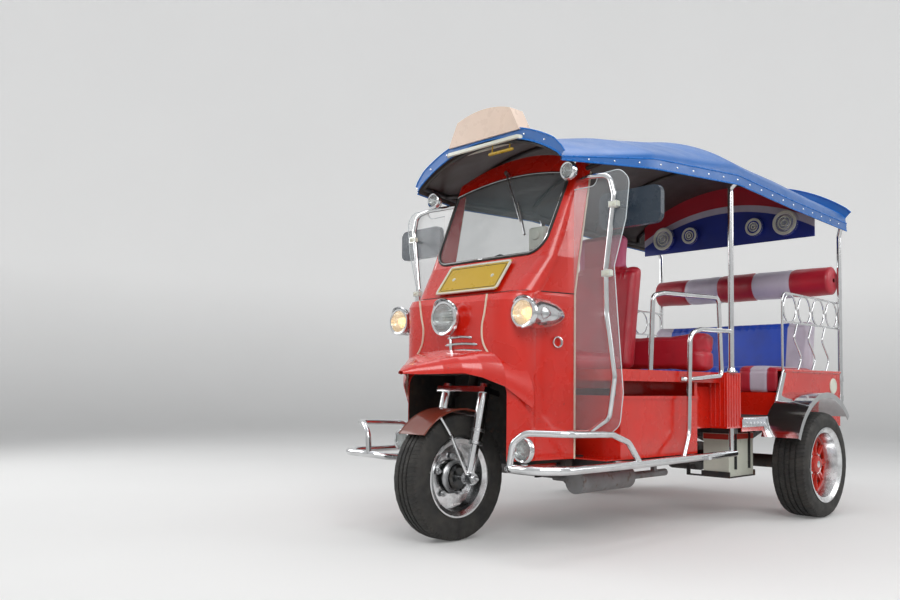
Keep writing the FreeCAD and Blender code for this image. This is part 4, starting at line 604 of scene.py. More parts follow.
class TAXI_OT_stage(bpy.types.Operator):
    """Floor, backdrop, soft lights and the camera at the photograph's angle"""
    bl_idname = "taxi.stage"
    bl_label = "Stage"

    # place, aim, width and height in metres, and the setting that holds the watts
    LAMPS = (
        ((4.5, -4.2, 4.4), (0, -0.3, 0.8), 4.5, 3.0, "key"),
        ((-4.6, -3.0, 3.2), (0, 0, 0.9), 3.5, 2.5, "fill"),
        ((5.2, 3.4, 3.6), (0, 0.4, 0.9), 3.5, 2.5, "fill"),
        ((0, 0.3, 5.4), (0, 0, 0), 4.0, 4.0, "fill"),
    )
    SKY_COLOUR = (0.93, 0.95, 1.0, 1)

    # radius of the flat floor, of the bend at its edge, and the height of the wall, in metres
    FLOOR_RADIUS, BEND, WALL_TOP = 9.0, 2.5, 16.0
    FLOOR_DROP = 0.0005
    # how far what the camera sees of the floor and, further, of the wall is lifted towards white
    FLOOR_LIFT, WALL_LIFT = 0.12, 0.26

    # the camera fitted to the photograph: turn, tilt and roll in degrees, place in metres, upward shift
    CAMERA_ANGLES = (46.625, 2.818, 0.601)
    CAMERA_PLACE = (2.640, AXLE_Y - 2.502, 0.651)
    CAMERA_SHIFT = 0.0501

    def execute(self, context):
        s = settings("taxi_stage")
        scene = context.scene
        scene.view_settings.view_transform = "Standard"
        self.cove(tuple(s.floor))
        self.world(scene, s)
        for place, aim, wide, high, watts in self.LAMPS:
            self.lamp(Vector(place), Vector(aim), wide, high, getattr(s, watts))
        self.camera(scene, s)
        return {"FINISHED"}

    def pale(self, colour):
        """Finish of the floor and wall; what the camera, gloss and glass see of it is lifted towards white."""
        f = Finish("pale_floor", colour, Roughness=0.9)
        f.set("Base Color", f.mix(f.span(f.noise(0.6, 2), 0.3, 0.7), colour, shade(colour, 0.97)))
        f.fix("Emission Color", (1, 1, 1, 1))
        lift = f.span(f.z, 0.1, self.BEND, self.FLOOR_LIFT, self.FLOOR_LIFT + self.WALL_LIFT)
        f.set("Emission Strength", f.math("MULTIPLY", seen_rays(f.nodes, f.links), lift))
        return f.bump(f.noise(30, 3), 0.05, 0.002).material

    def cove(self, colour):
        """A round floor that curves up into a wall."""
        profile = [(0.0, 0.0), (0.0, self.FLOOR_RADIUS / 3), (0.0, self.FLOOR_RADIUS)]
        for k in range(1, 9):
            angle = QUARTER * k / 8
            profile.append((self.BEND - self.BEND * math.cos(angle), self.FLOOR_RADIUS + self.BEND * math.sin(angle)))
        profile.append((self.WALL_TOP, self.FLOOR_RADIUS + self.BEND))
        shell = Shell().lathe(profile, Vector((0, 0, -self.FLOOR_DROP)), (0, 0, 1), 96)
        mesh = bpy.data.meshes.new("cove")
        mesh.from_pydata([tuple(p) for p in shell.points], [], shell.faces)
        mesh.materials.append(self.pale(colour))
        cove = bpy.data.objects.new("cove", mesh)
        bpy.context.scene.collection.objects.link(cove)
        mesh.shade_smooth()

    def world(self, scene, s):
        """Surrounding light, weaker on surfaces than in what the camera sees."""
        world = bpy.data.worlds.new("studio")
        scene.world = world
        world.use_nodes = True
        nodes, links = world.node_tree.nodes, world.node_tree.links
        background = nodes["Background"]
        strength = nodes.new("ShaderNodeMapRange")
        links.new(seen_rays(nodes, links), strength.inputs["Value"])
        strength.inputs["To Min"].default_value = s.sky
        strength.inputs["To Max"].default_value = 1.0
        links.new(strength.outputs[0], background.inputs["Strength"])
        background.inputs["Color"].default_value = self.SKY_COLOUR

    @staticmethod
    def lamp(place, aim, wide, high, watts):
        """A soft rectangular light that faces a point."""
        light = bpy.data.lights.new("soft_light", "AREA")
        light.shape = "RECTANGLE"
        light.size, light.size_y = wide, high
        light.energy = watts
        made = bpy.data.objects.new("soft_light", light)
        made.location = place
        made.rotation_euler = (aim - place).to_track_quat("-Z", "Y").to_euler()
        bpy.context.scene.collection.objects.link(made)

    def camera(self, scene, s):
        """The camera fitted to the photograph."""
        azimuth, pitch, roll = (math.radians(angle) for angle in self.CAMERA_ANGLES)
        level = Vector((-math.sin(azimuth), math.cos(azimuth), 0))
        ahead = level * math.cos(pitch) + Vector((0, 0, math.sin(pitch)))
        right = Vector((math.cos(azimuth), math.sin(azimuth), 0))
        up = right.cross(ahead)
        side = right * math.cos(roll) + up * math.sin(roll)
        top = up * math.cos(roll) - right * math.sin(roll)
        data = bpy.data.cameras.new("photo_camera")
        data.sensor_width = 36
        data.lens = s.lens
        data.shift_y = self.CAMERA_SHIFT
        made = bpy.data.objects.new("photo_camera", data)
        made.matrix_world = Matrix((side, top, -ahead)).transposed().to_4x4()
        made.location = self.CAMERA_PLACE
        scene.collection.objects.link(made)
        scene.camera = made


class TAXI_OT_finishes(bpy.types.Operator):
    """Paint, plating and glass on the rigid parts that stay as they are"""
    bl_idname = "taxi.finishes"
    bl_label = "Finishes"

    # finish of the palette: the nodes that wear it
    KEYS = {
        "paint": ("nose_shell", "front_hood", "cab_floor", "seat_shelf", "bulkhead", "rear_tub"),
        "chrome": ("roof_posts", "side_rails", "screen_tubes", "side_racks", "rear_fenders", "fork", "handlebar"),
        "black": ("chassis_frame", "rear_axle", "roof_frame"),
        "mudguard": ("front_mudguard",),
        "steel": ("wiper",),
        "liner": ("arch_liner",),
        "engine": ("engine_block",),
        "sign": ("roof_sign",),
        "glass": ("windscreen",),
        "acrylic": ("side_screens",),
        "amber": ("turn_lamps",),
        "red_lens": ("tail_lamps",),
        "mirror_back": ("mirrors",),
        "plate": ("notice_plate",),
        "pale": ("battery",),
    }

    # colour of the rims' centres, and the radii between which they turn into the polished lip
    FRONT_CENTRE = ((0.055, 0.058, 0.060), 0.071, 0.076)
    REAR_CENTRE = ((0.55, 0.016, 0.006), 0.150, 0.155)
    BRAKE_DUST = (0.10, 0.075, 0.055)

    # the speaker board: height of the centre of its arches and the radii where its bands change
    ARCH_FOOT, PALE_FROM, RED_FROM = 0.62, 1.130, 1.170

    def execute(self, context):
        for key, nodes in self.KEYS.items():
            for node in nodes:
                dress(node, key)
        dress("speaker_panel", self.board())
        dress("front_rim", self.rim("front_rim_plating", at(*FRONT_WHEEL), *self.FRONT_CENTRE, 1.0))
        for side, suffix in SUFFIXES:
            finish = self.rim("rear_rim_paint_" + suffix, rear_middle(side), *self.REAR_CENTRE, 0.0)
            dress("rear_rim_" + suffix, finish)
        return {"FINISHED"}

    @classmethod
    def rim(cls, name, centre, inner, low, high, hub_metal):
        """Polished lip outside a radius, painted or plated centre inside it, brake dust between."""
        outer = tuple(settings("taxi_colours").chrome)
        f = Finish(name, outer)
        lip = f.span(f.across(centre), low, high)
        grime = f.span(f.noise(24, 5), 0.45, 0.75, 0.0, 0.45)
        f.set("Base Color", f.mix(grime, f.mix(lip, inner, outer), cls.BRAKE_DUST))
        f.set("Metallic", f.math("MAXIMUM", f.span(lip, 0.2, 0.8), hub_metal * 0.8))
        f.set("Roughness", f.span(f.noise(16, 4), 0.3, 0.7, 0.10, 0.32))
        return f.bump(f.noise(70, 3), 0.06, 0.001).material

    @classmethod
    def board(cls):
        """Dark blue covered board with an arched pale and red border."""
        f = Finish("covered_board", (0.03, 0.04, 0.16))
        rise = f.math("SUBTRACT", f.z, cls.ARCH_FOOT)
        away = f.math("SQRT", f.math("ADD", f.math("POWER", f.x, 2.0), f.math("POWER", rise, 2.0)))
        tone, soft = (0.016, 0.035, 0.30), 0.002
        for start, colour in ((cls.PALE_FROM, (0.55, 0.52, 0.62)), (cls.RED_FROM, (0.45, 0.014, 0.03))):
            tone = f.mix(f.span(away, start - soft, start + soft), tone, colour)
        f.set("Base Color", f.mix(f.span(f.noise(6, 5), 0.4, 0.8, 0.0, 0.3), tone, (0.03, 0.03, 0.04)))
        f.set("Roughness", f.span(f.noise(15), 0.3, 0.7, 0.35, 0.6))
        return f.bump(f.cells(500), 0.3, 0.0006).material


class TAXI_OT_tyres(bpy.types.Operator):
    """Three tyres with ribs, grooves and cut tread"""
    bl_idname = "taxi.tyres"
    bl_label = "Tyres"

    # in millimetres: section half width, rim half width, rim lip radius, groove places across; then cuts round
    FRONT = (70.0, 62.0, 170.0, (0.0, 24.0), 92)
    REAR = (91.0, 87.0, 192.0, (13.0, 43.0), 76)

    def execute(self, context):
        self.tyre("front_tyre", "front_wheel", at(*FRONT_WHEEL), FRONT_WHEEL[2], *self.FRONT)
        for side, suffix in SUFFIXES:
            self.tyre("rear_tyre_" + suffix, "rear_wheel_" + suffix, rear_middle(side), REAR_WHEEL[2], *self.REAR)
        return {"FINISHED"}

    @staticmethod
    def tyre(node, body, centre, radius, half, rim, lip, grooves, cuts):
        """One tyre as a turned section; the wheel stands on the floor, so its radius is its middle's height."""
        sizes = settings("taxi_tyres")
        deep, wide = sizes.groove_depth * 1000, sizes.groove_width * 500
        profile = [(14 - rim, lip - 15.5), (5 - rim, lip + 1), (-half * 0.95, lip + 10),
                   (-half * 0.995, (radius + lip) / 2), (-half * 0.97, radius - 30), (-half * 0.87, radius - 8),
                   (-half * 0.74, radius - 2.5)]
        for across in sorted(grooves, reverse=True):
            if across:
                profile += [(-across - wide, radius - 0.4), (wide * 0.5 - across - wide, radius - deep),
                            (wide * 1.5 - across - wide, radius - deep), (wide - across, radius - 0.4)]
            else:
                profile += [(-wide, radius), (-wide * 0.5, radius - deep)]
        profile += [(-across, high) for across, high in reversed(profile)]
        shell = Shell().lathe([(a / 1000, b / 1000) for a, b in profile], centre, (1, 0, 0), sizes.segments)
        black = rubber("tyre_" + node, tuple(settings("taxi_colours").rubber), centre, cuts, radius / 1000)
        shell.piece(node + "_tread", black, body, "tyre", (node,), smooth=32)


class TAXI_OT_wheel_details(bpy.types.Operator):
    """Hub caps, wheel nuts, rim screws, spoke ribs and the front drum's edge"""
    bl_idname = "taxi.wheel_details"
    bl_label = "Wheel details"

    def execute(self, context):
        self.front_hub(at(*FRONT_WHEEL))
        for side, suffix in SUFFIXES:
            self.rear_hub(rear_middle(side), Vector((side, 0, 0)), suffix)
        return {"FINISHED"}

    @staticmethod
    def front_hub(centre):
        """Wheel nuts and the drum's edge, on both sides."""
        hub = Shell()
        drum = [(0.0, 0.068), (0.010, 0.070), (0.016, 0.064), (0.030, 0.060)]
        for side in SIDES:
            out = Vector((side, 0, 0))
            for k in range(5):
                hub.bolt(centre + out * 0.012 + spoke(k, 5, 0.0) * 0.086, out, 0.009, 0.014)
            hub.lathe(drum, centre + out * 0.022, out, 32)
        hub.piece("front_hub_nuts", Palette.get("steel"), "front_wheel", "steel")

    @staticmethod
    def rear_hub(centre, out, suffix):
        """Hub cap with four nuts, ten rim screws, and a rib on each of the ten spokes."""
        dome = [(0.047, 0.0), (0.047, 0.014), (0.042, 0.030), (0.036, 0.040), (0.030, 0.043)]
        cap = Shell().lathe(dome, centre, out, 32)
        for k in range(10):
            cap.bolt(centre + out * 0.008 + spoke(k, 10) * 0.158, out, 0.0035, 0.004)
        for k in range(4):
            cap.bolt(centre + out * 0.016 + spoke(k, 4) * 0.058, out, 0.009, 0.012)
        cap.piece("rear_hub_cap_" + suffix, Palette.get("chrome"), "rear_wheel_" + suffix, "chrome")
        ribs = Shell()
        # radius and place along the axle of a rib's points
        course = ((0.048, 0.024), (0.10, 0.017), (0.152, 0.014))
        for k in range(10):
            ribs.tube([centre + spoke(k, 10) * r + out * along for r, along in course], [0.007, 0.0055, 0.006], 6)
        ribs.piece("rear_rim_ribs_" + suffix, Palette.get("red_plastic"), "rear_wheel_" + suffix, "rim_red")


# Roof cross-sections: distance back, half width, lower edge, height of the valance, crown
ROOF_ROWS = (
    (192, 448, 1592, 22, 1760),
    (620, 606, 1606, 66, 1842),
    (1280, 655, 1642, 88, 1962),
    (1880, 655, 1612, 86, 1944),
    (2590, 646, 1594, 80, 1898),
)
ROOF_FRONT, ROOF_REAR = ROOF_ROWS[0][0], ROOF_ROWS[-1][0]


def roof_at(y):
    """Half width, lower edge, valance and crown of the roof at a distance back."""
    for low, high in zip(ROOF_ROWS[:-1], ROOF_ROWS[1:]):
        if low[0] <= y <= high[0]:
            part = (y - low[0]) / (high[0] - low[0])
            return [a + (b - a) * part for a, b in zip(low[1:], high[1:])]
    return list(ROOF_ROWS[-1][1:])


def roof_line(y, inset=0.0, steps=36, drop=4):
    """Points of the roof's outside from its left lower edge over the top to the right one."""
    half, edge, valance, crown = roof_at(y)
    half -= inset
    shoulder = edge + valance
    rise = crown - inset - shoulder
    ball = (half ** 2 + rise ** 2) / (2 * rise)
    reach = math.asin(half / ball)
    points = [(half, edge + valance * k / drop * 0.82) for k in range(drop)]
    for k in range(steps + 1):
        angle = reach * (1 - 2 * k / steps)
        points.append((ball * math.sin(angle), crown - inset - ball + ball * math.cos(angle)))
    points[drop] = (half - 3, shoulder - 3.5)
    points[-1] = (3 - half, shoulder - 3.5)
    points += [(-half, edge + valance * k / drop * 0.82) for k in reversed(range(drop))]
    return [at(x, y, z) for x, z in points]


class TAXI_OT_roof(bpy.types.Operator):
    """Canvas roof with its lining, edge band, piping and studs"""
    bl_idname = "taxi.roof"
    bl_label = "Roof"

    # piece, finish, millimetres inside the roof's outside, share of the slack, node that it stands for
    SHEETS = (("roof_cover", "canvas", 0.0, 1.0, ("roof_canopy",)), ("roof_lining", "lining", 6.5, 0.8, ()))
    # length in metres of both sheets, how far they dip between two bows and how far their puckers reach
    CLOTH_LENGTH, SLACK, PUCKER = 2.44, 0.0045, 0.0022

    def execute(self, context):
        stations = [ROOF_FRONT + (ROOF_REAR - ROOF_FRONT) * k / 62 for k in range(63)]
        stations = sorted(set(stations) | {row[0] for row in ROOF_ROWS})
        for name, key, inset, share, node in self.SHEETS:
            rows = [self.sagged(roof_line(y, inset), self.slack(y) * share) for y in stations]
            cover = Shell().grid(rows).piece(name, Palette.get(key), "body", "blue_canvas", node, smooth=60)
        self.edges(settings("taxi_trim"))
        return {"FINISHED"}

    @classmethod
    def sagged(cls, line, slack):
        """A line over the roof lowered by the slack and puckered, least at its two edges."""
        middle = (len(line) - 1) / 2
        for k, point in enumerate(line):
            away = abs(k - middle) / middle
            point.z -= slack * (1 - away ** 4)
            pucker = noise.noise(Vector((point.x * 3.1, point.y * 7.0, point.z * 2.0))) * cls.PUCKER
            point.z += pucker * (1 - away ** 6)
        return line

    @classmethod
    def slack(cls, y):
        """How far the cloth dips between two bows."""
        for low, high in zip(ROOF_ROWS[:-1], ROOF_ROWS[1:]):
            if low[0] <= y <= high[0]:
                return cls.SLACK * math.sin(math.pi * (y - low[0]) / (high[0] - low[0]))
        return 0.0

    @staticmethod
    def stud_row(studs, line, middle, face, trim):
        """Studs at the middle's points, spaced by the way walked along a line."""
        walk = 0.0
        profile = [(0, trim.stud), (trim.stud * 0.45, trim.stud * 0.75), (trim.stud * 0.6, 0)]
        for before, here, spot in zip(line, line[1:], middle[1:]):
            walk += (here - before).length
            if walk >= trim.stud_pitch:
                walk = 0.0
                studs.lathe(profile, spot, face, 10)

    @classmethod
    def edges(cls, trim):
        """Band along the whole lower edge with beading on both its seams and studs between them."""
        hem = trim.hem
        ends = [roof_line(y, 0, 40, 2)[2:-2] for y in (ROOF_FRONT + 2, ROOF_REAR - 2)]
        run = [ROOF_FRONT + (ROOF_REAR - ROOF_FRONT) * k / 40 for k in range(41)]
        sides = both([at(roof_at(y)[0], y, roof_at(y)[1]) for y in run])
        band, beads, studs = Shell(), Shell(), Shell()
        # the front band narrows to a share of its height at its two corners
        for line, out, corner in ((ends[0], -1, 0.55), (ends[1], 1, 1.0)):
            face = Vector((0, out, 0))
            low = [point + face * 0.004 for point in line]
            inward = []
            for k, point in enumerate(low):
                along = (line[min(k + 1, len(line) - 1)] - line[max(k - 1, 0)]).normalized()
                deep = hem * (corner + (1 - corner) * min(1.0, 4 * math.sin(math.pi * k / 40)))
                inward.append(point + Vector((along.z, 0, -along.x)) * deep)
            back_low, back_high = [point - face * 0.014 for point in low], [point - face * 0.010 for point in inward]
            band.grid([back_low, low, inward, back_high])
            beads.tube(low, trim.piping * 0.9, 8)
            beads.tube(inward, trim.piping * 0.8, 8)
            middle = [(a + b) / 2 for a, b in zip(low, inward)]
            cls.stud_row(studs, middle, middle, face, trim)
        for side, line in zip(SIDES, sides):
            out = Vector((side * 0.0035, 0, 0))
            low = [point + out for point in line]
            valances = [roof_at((point.y - AXLE_Y) * 1000)[2] / 1000 for point in line]
            high = [point + Vector((0, 0, min(hem, valance * 0.648))) for point, valance in zip(low, valances)]
            back_low, back_high = [point - out * 2.6 for point in low], [point - out * 1.2 for point in high]
            band.grid([back_low, low, high, back_high])
            beads.tube(low, trim.piping * 0.9, 8)
            beads.tube(high, trim.piping * 0.8, 8)
            cls.stud_row(studs, low, [(a + b) / 2 for a, b in zip(low, high)], (side, 0, 0), trim)
        band.piece("roof_edge_band", Palette.get("canvas"), "body", "blue_canvas", smooth=50)
        # the beading is real, but its blue is made lighter than the roof's as a painted highlight along the seams
        blue = plastic("blue_piping", shade(tuple(settings("taxi_colours").roof), 1.35), 0.25, 300, 0.3)
        beads.piece("roof_piping", blue, "body", "blue_canvas")
        studs.piece("roof_studs", Palette.get("chrome"), "body", "chrome")


def lamp_glass(shell, centre, axis, radius, bulge=0.12, rings=5):
    """Domed lamp glass as a lathe, its rim at the centre."""
    turns = [k / rings * QUARTER for k in range(rings + 1)]
    profile = [(radius * bulge * math.cos(turn), radius * math.sin(turn)) for turn in turns]
    return shell.lathe(profile, centre, axis, 40)


class TAXI_OT_lamps(bpy.types.Operator):
    """Headlamps, fog lamps, roof lamps, ceiling lamp and round speakers"""
    bl_idname = "taxi.lamps"
    bl_label = "Lamps"

    def execute(self, context):
        self.nose_lamp()
        self.side_lamps()
        self.small_lamps()
        self.under_roof()
        return {"FINISHED"}

    @staticmethod
    def bezel(shell, centre, radius, wide=0.012, deep=0.018):
        """Rolled ring round a glass, facing forward."""
        profile = [(-0.004, radius - 0.005), (0.004, radius - 0.003), (0.007, radius + wide * 0.3),
                   (0.004, radius + wide * 0.75), (-0.004, radius + wide), (-deep, radius + wide),
                   (-deep, radius - 0.005)]
        return shell.lathe(profile, centre, FORWARD, 48)

    @staticmethod
    def peak(shell, centre, radius, reach, spread=1.05):
        """Short eyebrow over a lamp."""
        # metres beyond the radius and share of the reach, for each point of its section
        section = ((0.0, 0.0), (0.006, 0.6), (0.003, 1.0), (0.0015, 0.95), (0.004, 0.6), (-0.002, 0.0))
        rows = []
        for k in range(17):
            angle = spread * (k / 8 - 1)
            out = Vector((math.sin(angle), 0, math.cos(angle)))
            ahead = Vector(FORWARD) * (reach * math.cos(angle / spread * QUARTER))
            rows.append([centre + out * (radius + more) + ahead * share for more, share in section])
        return shell.grid(rows, wrap=True, cap=True)

    def nose_lamp(self):
        """Middle lamp: ring, bowl, reflector, peak, bulb and glass."""
        r = 0.077
        centre = at(0, -48, 943)
        body = Shell()
        self.bezel(body, centre, r - 0.011, 0.012, 0.016)
        bowl = [(-0.016, r + 0.001), (-0.024, r - 0.005), (-0.036, r - 0.018), (-0.0495, r - 0.028)]
        body.lathe(bowl, centre, FORWARD, 48)
        reflector = [(-0.002, r - 0.014), (-0.020, r * 0.62), (-0.030, r * 0.30), (-0.031, 0.0)]
        body.lathe(reflector, centre, FORWARD, 40)
        self.peak(body, centre + Vector((0, 0.004, 0)), r + 0.002, 0.026)
        body.piece("nose_lamp_bowl", Palette.get("chrome"), "body", "lamp", ("nose_lamp",))
        bulb = [(-0.030, 0.006), (-0.020, 0.010), (-0.012, 0.010), (-0.006, 0.006), (-0.004, 0)]
        Shell().lathe(bulb, centre, FORWARD, 16).piece("nose_lamp_bulb", Palette.get("pale"), "body", "lamp")
        glass = lamp_glass(Shell(), centre, FORWARD, r - 0.011)
        glass.piece("nose_lamp_glass", Palette.get("clear"), "body", "lamp")

    def side_lamps(self):
        """Bullet-shaped headlamps on both sides, lit."""
        r = 0.064
        body, glass, bulbs = Shell(), Shell(), Shell()
        for side in SIDES:
            centre = at(386 * side, 27, 952)
            self.bezel(body, centre, r - 0.010, 0.012, 0.014)
            bullet = [(-0.012, r + 0.002), (-0.020, r - 0.003), (-0.060, r * 0.99), (-0.11, r * 0.965),
                      (-0.15, r * 0.885), (-0.19, r * 0.73), (-0.225, r * 0.50), (-0.250, r * 0.25), (-0.262, 0.0)]
            body.lathe(bullet, centre, FORWARD, 48)
            reflector = [(-0.002, r - 0.012), (-0.018, r * 0.6), (-0.027, r * 0.28), (-0.028, 0.0)]
            body.lathe(reflector, centre, FORWARD, 40)
            self.peak(body, centre + Vector((0, 0.004, 0)), r + 0.001, 0.020)
            lamp_glass(glass, centre, FORWARD, r - 0.010)
            bulbs.lathe([(-0.026, 0.006), (-0.016, 0.011), (-0.008, 0.009), (-0.004, 0)], centre, FORWARD, 16)
        body.piece("side_lamp_bullets", Palette.get("chrome"), "body", "lamp", ("side_headlamps",))
        glass.piece("side_lamp_glass", Palette.get("warm"), "body", "lamp")
        bulbs.piece("side_lamp_bulbs", lens("lit_bulb", (1, 0.9, 0.7), 100.0, 1.5), "body", "lamp")

    def small_lamps(self):
        """Fog lamps low on the nose and small lamps under the roof's front, with their arms."""
        body, glass = Shell(), Shell()
        for side in SIDES:
            for place, r in (((372, 44, 401), 0.054), ((420, 266, 1566), 0.040)):
                centre = at(place[0] * side, place[1], place[2])
                self.bezel(body, centre, r - 0.008, 0.009, 0.012)
                bowl = [(-0.010, r), (-0.020, r * 0.92), (-0.038, r * 0.68), (-0.050, r * 0.25), (-0.0505, 0)]
                body.lathe(bowl, centre, FORWARD, 36)
                body.lathe([(-0.002, r - 0.009), (-0.014, r * 0.55), (-0.020, 0.0)], centre, FORWARD, 32)
                lamp_glass(glass, centre, FORWARD, r - 0.008, 0.14)
            body.tube([at(372 * side, 86, 401), at(355 * side, 100, 401), at(322 * side, 122, 401)], 0.0115, 12)
            body.bolt(at(372 * side, 60, 342), (0, 0, -1), 0.010, 0.010)
            body.tube([at(420 * side, 290, 1566), at(425 * side, 290, 1590), at(462 * side, 290, 1628)], 0.0072, 10)
        body.piece("small_lamp_bowls", Palette.get("chrome"), "body", "lamp", ("small_lamps",))
        glass.piece("small_lamp_glass", Palette.get("clear"), "body", "lamp")

    def under_roof(self):
        """Four round speakers on the board under the roof, and a flat lamp on the ceiling."""
        rings, faces = Shell(), Shell()
        for x, r in ((410, 0.076), (217, 0.056), (-217, 0.056), (-410, 0.076)):
            centre = at(x, 2295, 1634)
            self.bezel(rings, centre + Vector((0, 0.004, 0)), r - 0.014, 0.014, 0.010)
            for share in (0.78, 0.52, 0.26):
                ridge = [(0.0, r * share), (0.0045, r * share - 0.003), (0.0, r * share - 0.006)]
                rings.lathe(ridge, centre, FORWARD, 40)
            lamp_glass(faces, centre + Vector((0, 0.004, 0)), FORWARD, r - 0.014, 0.10)
        rings.piece("speaker_rings", Palette.get("pale"), "body", "grey_board")
        faces.piece("speaker_faces", Palette.get("clear"), "body", "grey_board")
        dome = [(0, 0.075), (0.012, 0.078), (0.030, 0.066), (0.042, 0.036), (0.046, 0)]
        lamp = Shell().lathe(dome, at(200, 1660, 1905), (0, 0, -1), 36)
        lamp.piece("ceiling_lamp", Palette.get("pale"), "body", "cream")


# Slope of the windscreen and of the scuttle under it
SCREEN_RISE = Vector((0, 251, 544)).normalized()
SCREEN_OUT = Vector((0, -SCREEN_RISE.z, SCREEN_RISE.y))
SCUTTLE_RISE = Vector((0, 114, 154)).normalized()
SCUTTLE_OUT = Vector((0, -SCUTTLE_RISE.z, SCUTTLE_RISE.y))


def on_screen(x, z, out=0.0):
    """A point on the windscreen's plane from millimetres, moved outward by metres."""
    return at(x, 198 + (z - 1206) * 251 / 544, z) + SCREEN_OUT * out


def screen_edge(inset=0.0, out=0.0):
    """Closed line round the windscreen, from the middle of its foot towards the left."""
    half = [(253 * k / 6, 1222 + inset) for k in range(7)]
    turns = [k * math.pi / 16 for k in range(1, 9)]
    half += [(253 + (85 - inset) * math.sin(turn), 1307 - (85 - inset) * math.cos(turn)) for turn in turns]
    half += [(338 - inset + 12 * k / 6, 1307 + 272 * k / 6) for k in range(1, 7)]
    # radius of the arched head, from its half width of 350 and its rise of 46
    ball = (350 ** 2 + 46 ** 2) / 92
    half += [(x, 1631 - ball + math.sqrt(ball ** 2 - x ** 2) - inset)
             for x in (338, 300, 250, 200, 150, 100, 50, 0)]
    line = half + [(-x, z) for x, z in reversed(half[1:-1])]
    return [on_screen(x, z, out) for x, z in line]


def roof_height(x, y):
    """Height in metres of the roof's outside over a place in millimetres."""
    half, edge, valance, crown = roof_at(y)
    rise = crown - edge - valance
    ball = (half ** 2 + rise ** 2) / (2 * rise)
    return (crown - ball + math.sqrt(ball ** 2 - x ** 2)) / 1000


def bar_section(back, front):
    """Section of a bright bar, 11 mm wide."""
    return [(-0.0055, back), (-0.0055, 0.002), (-0.003, front), (0.003, front), (0.0055, 0.002), (0.0055, back)]


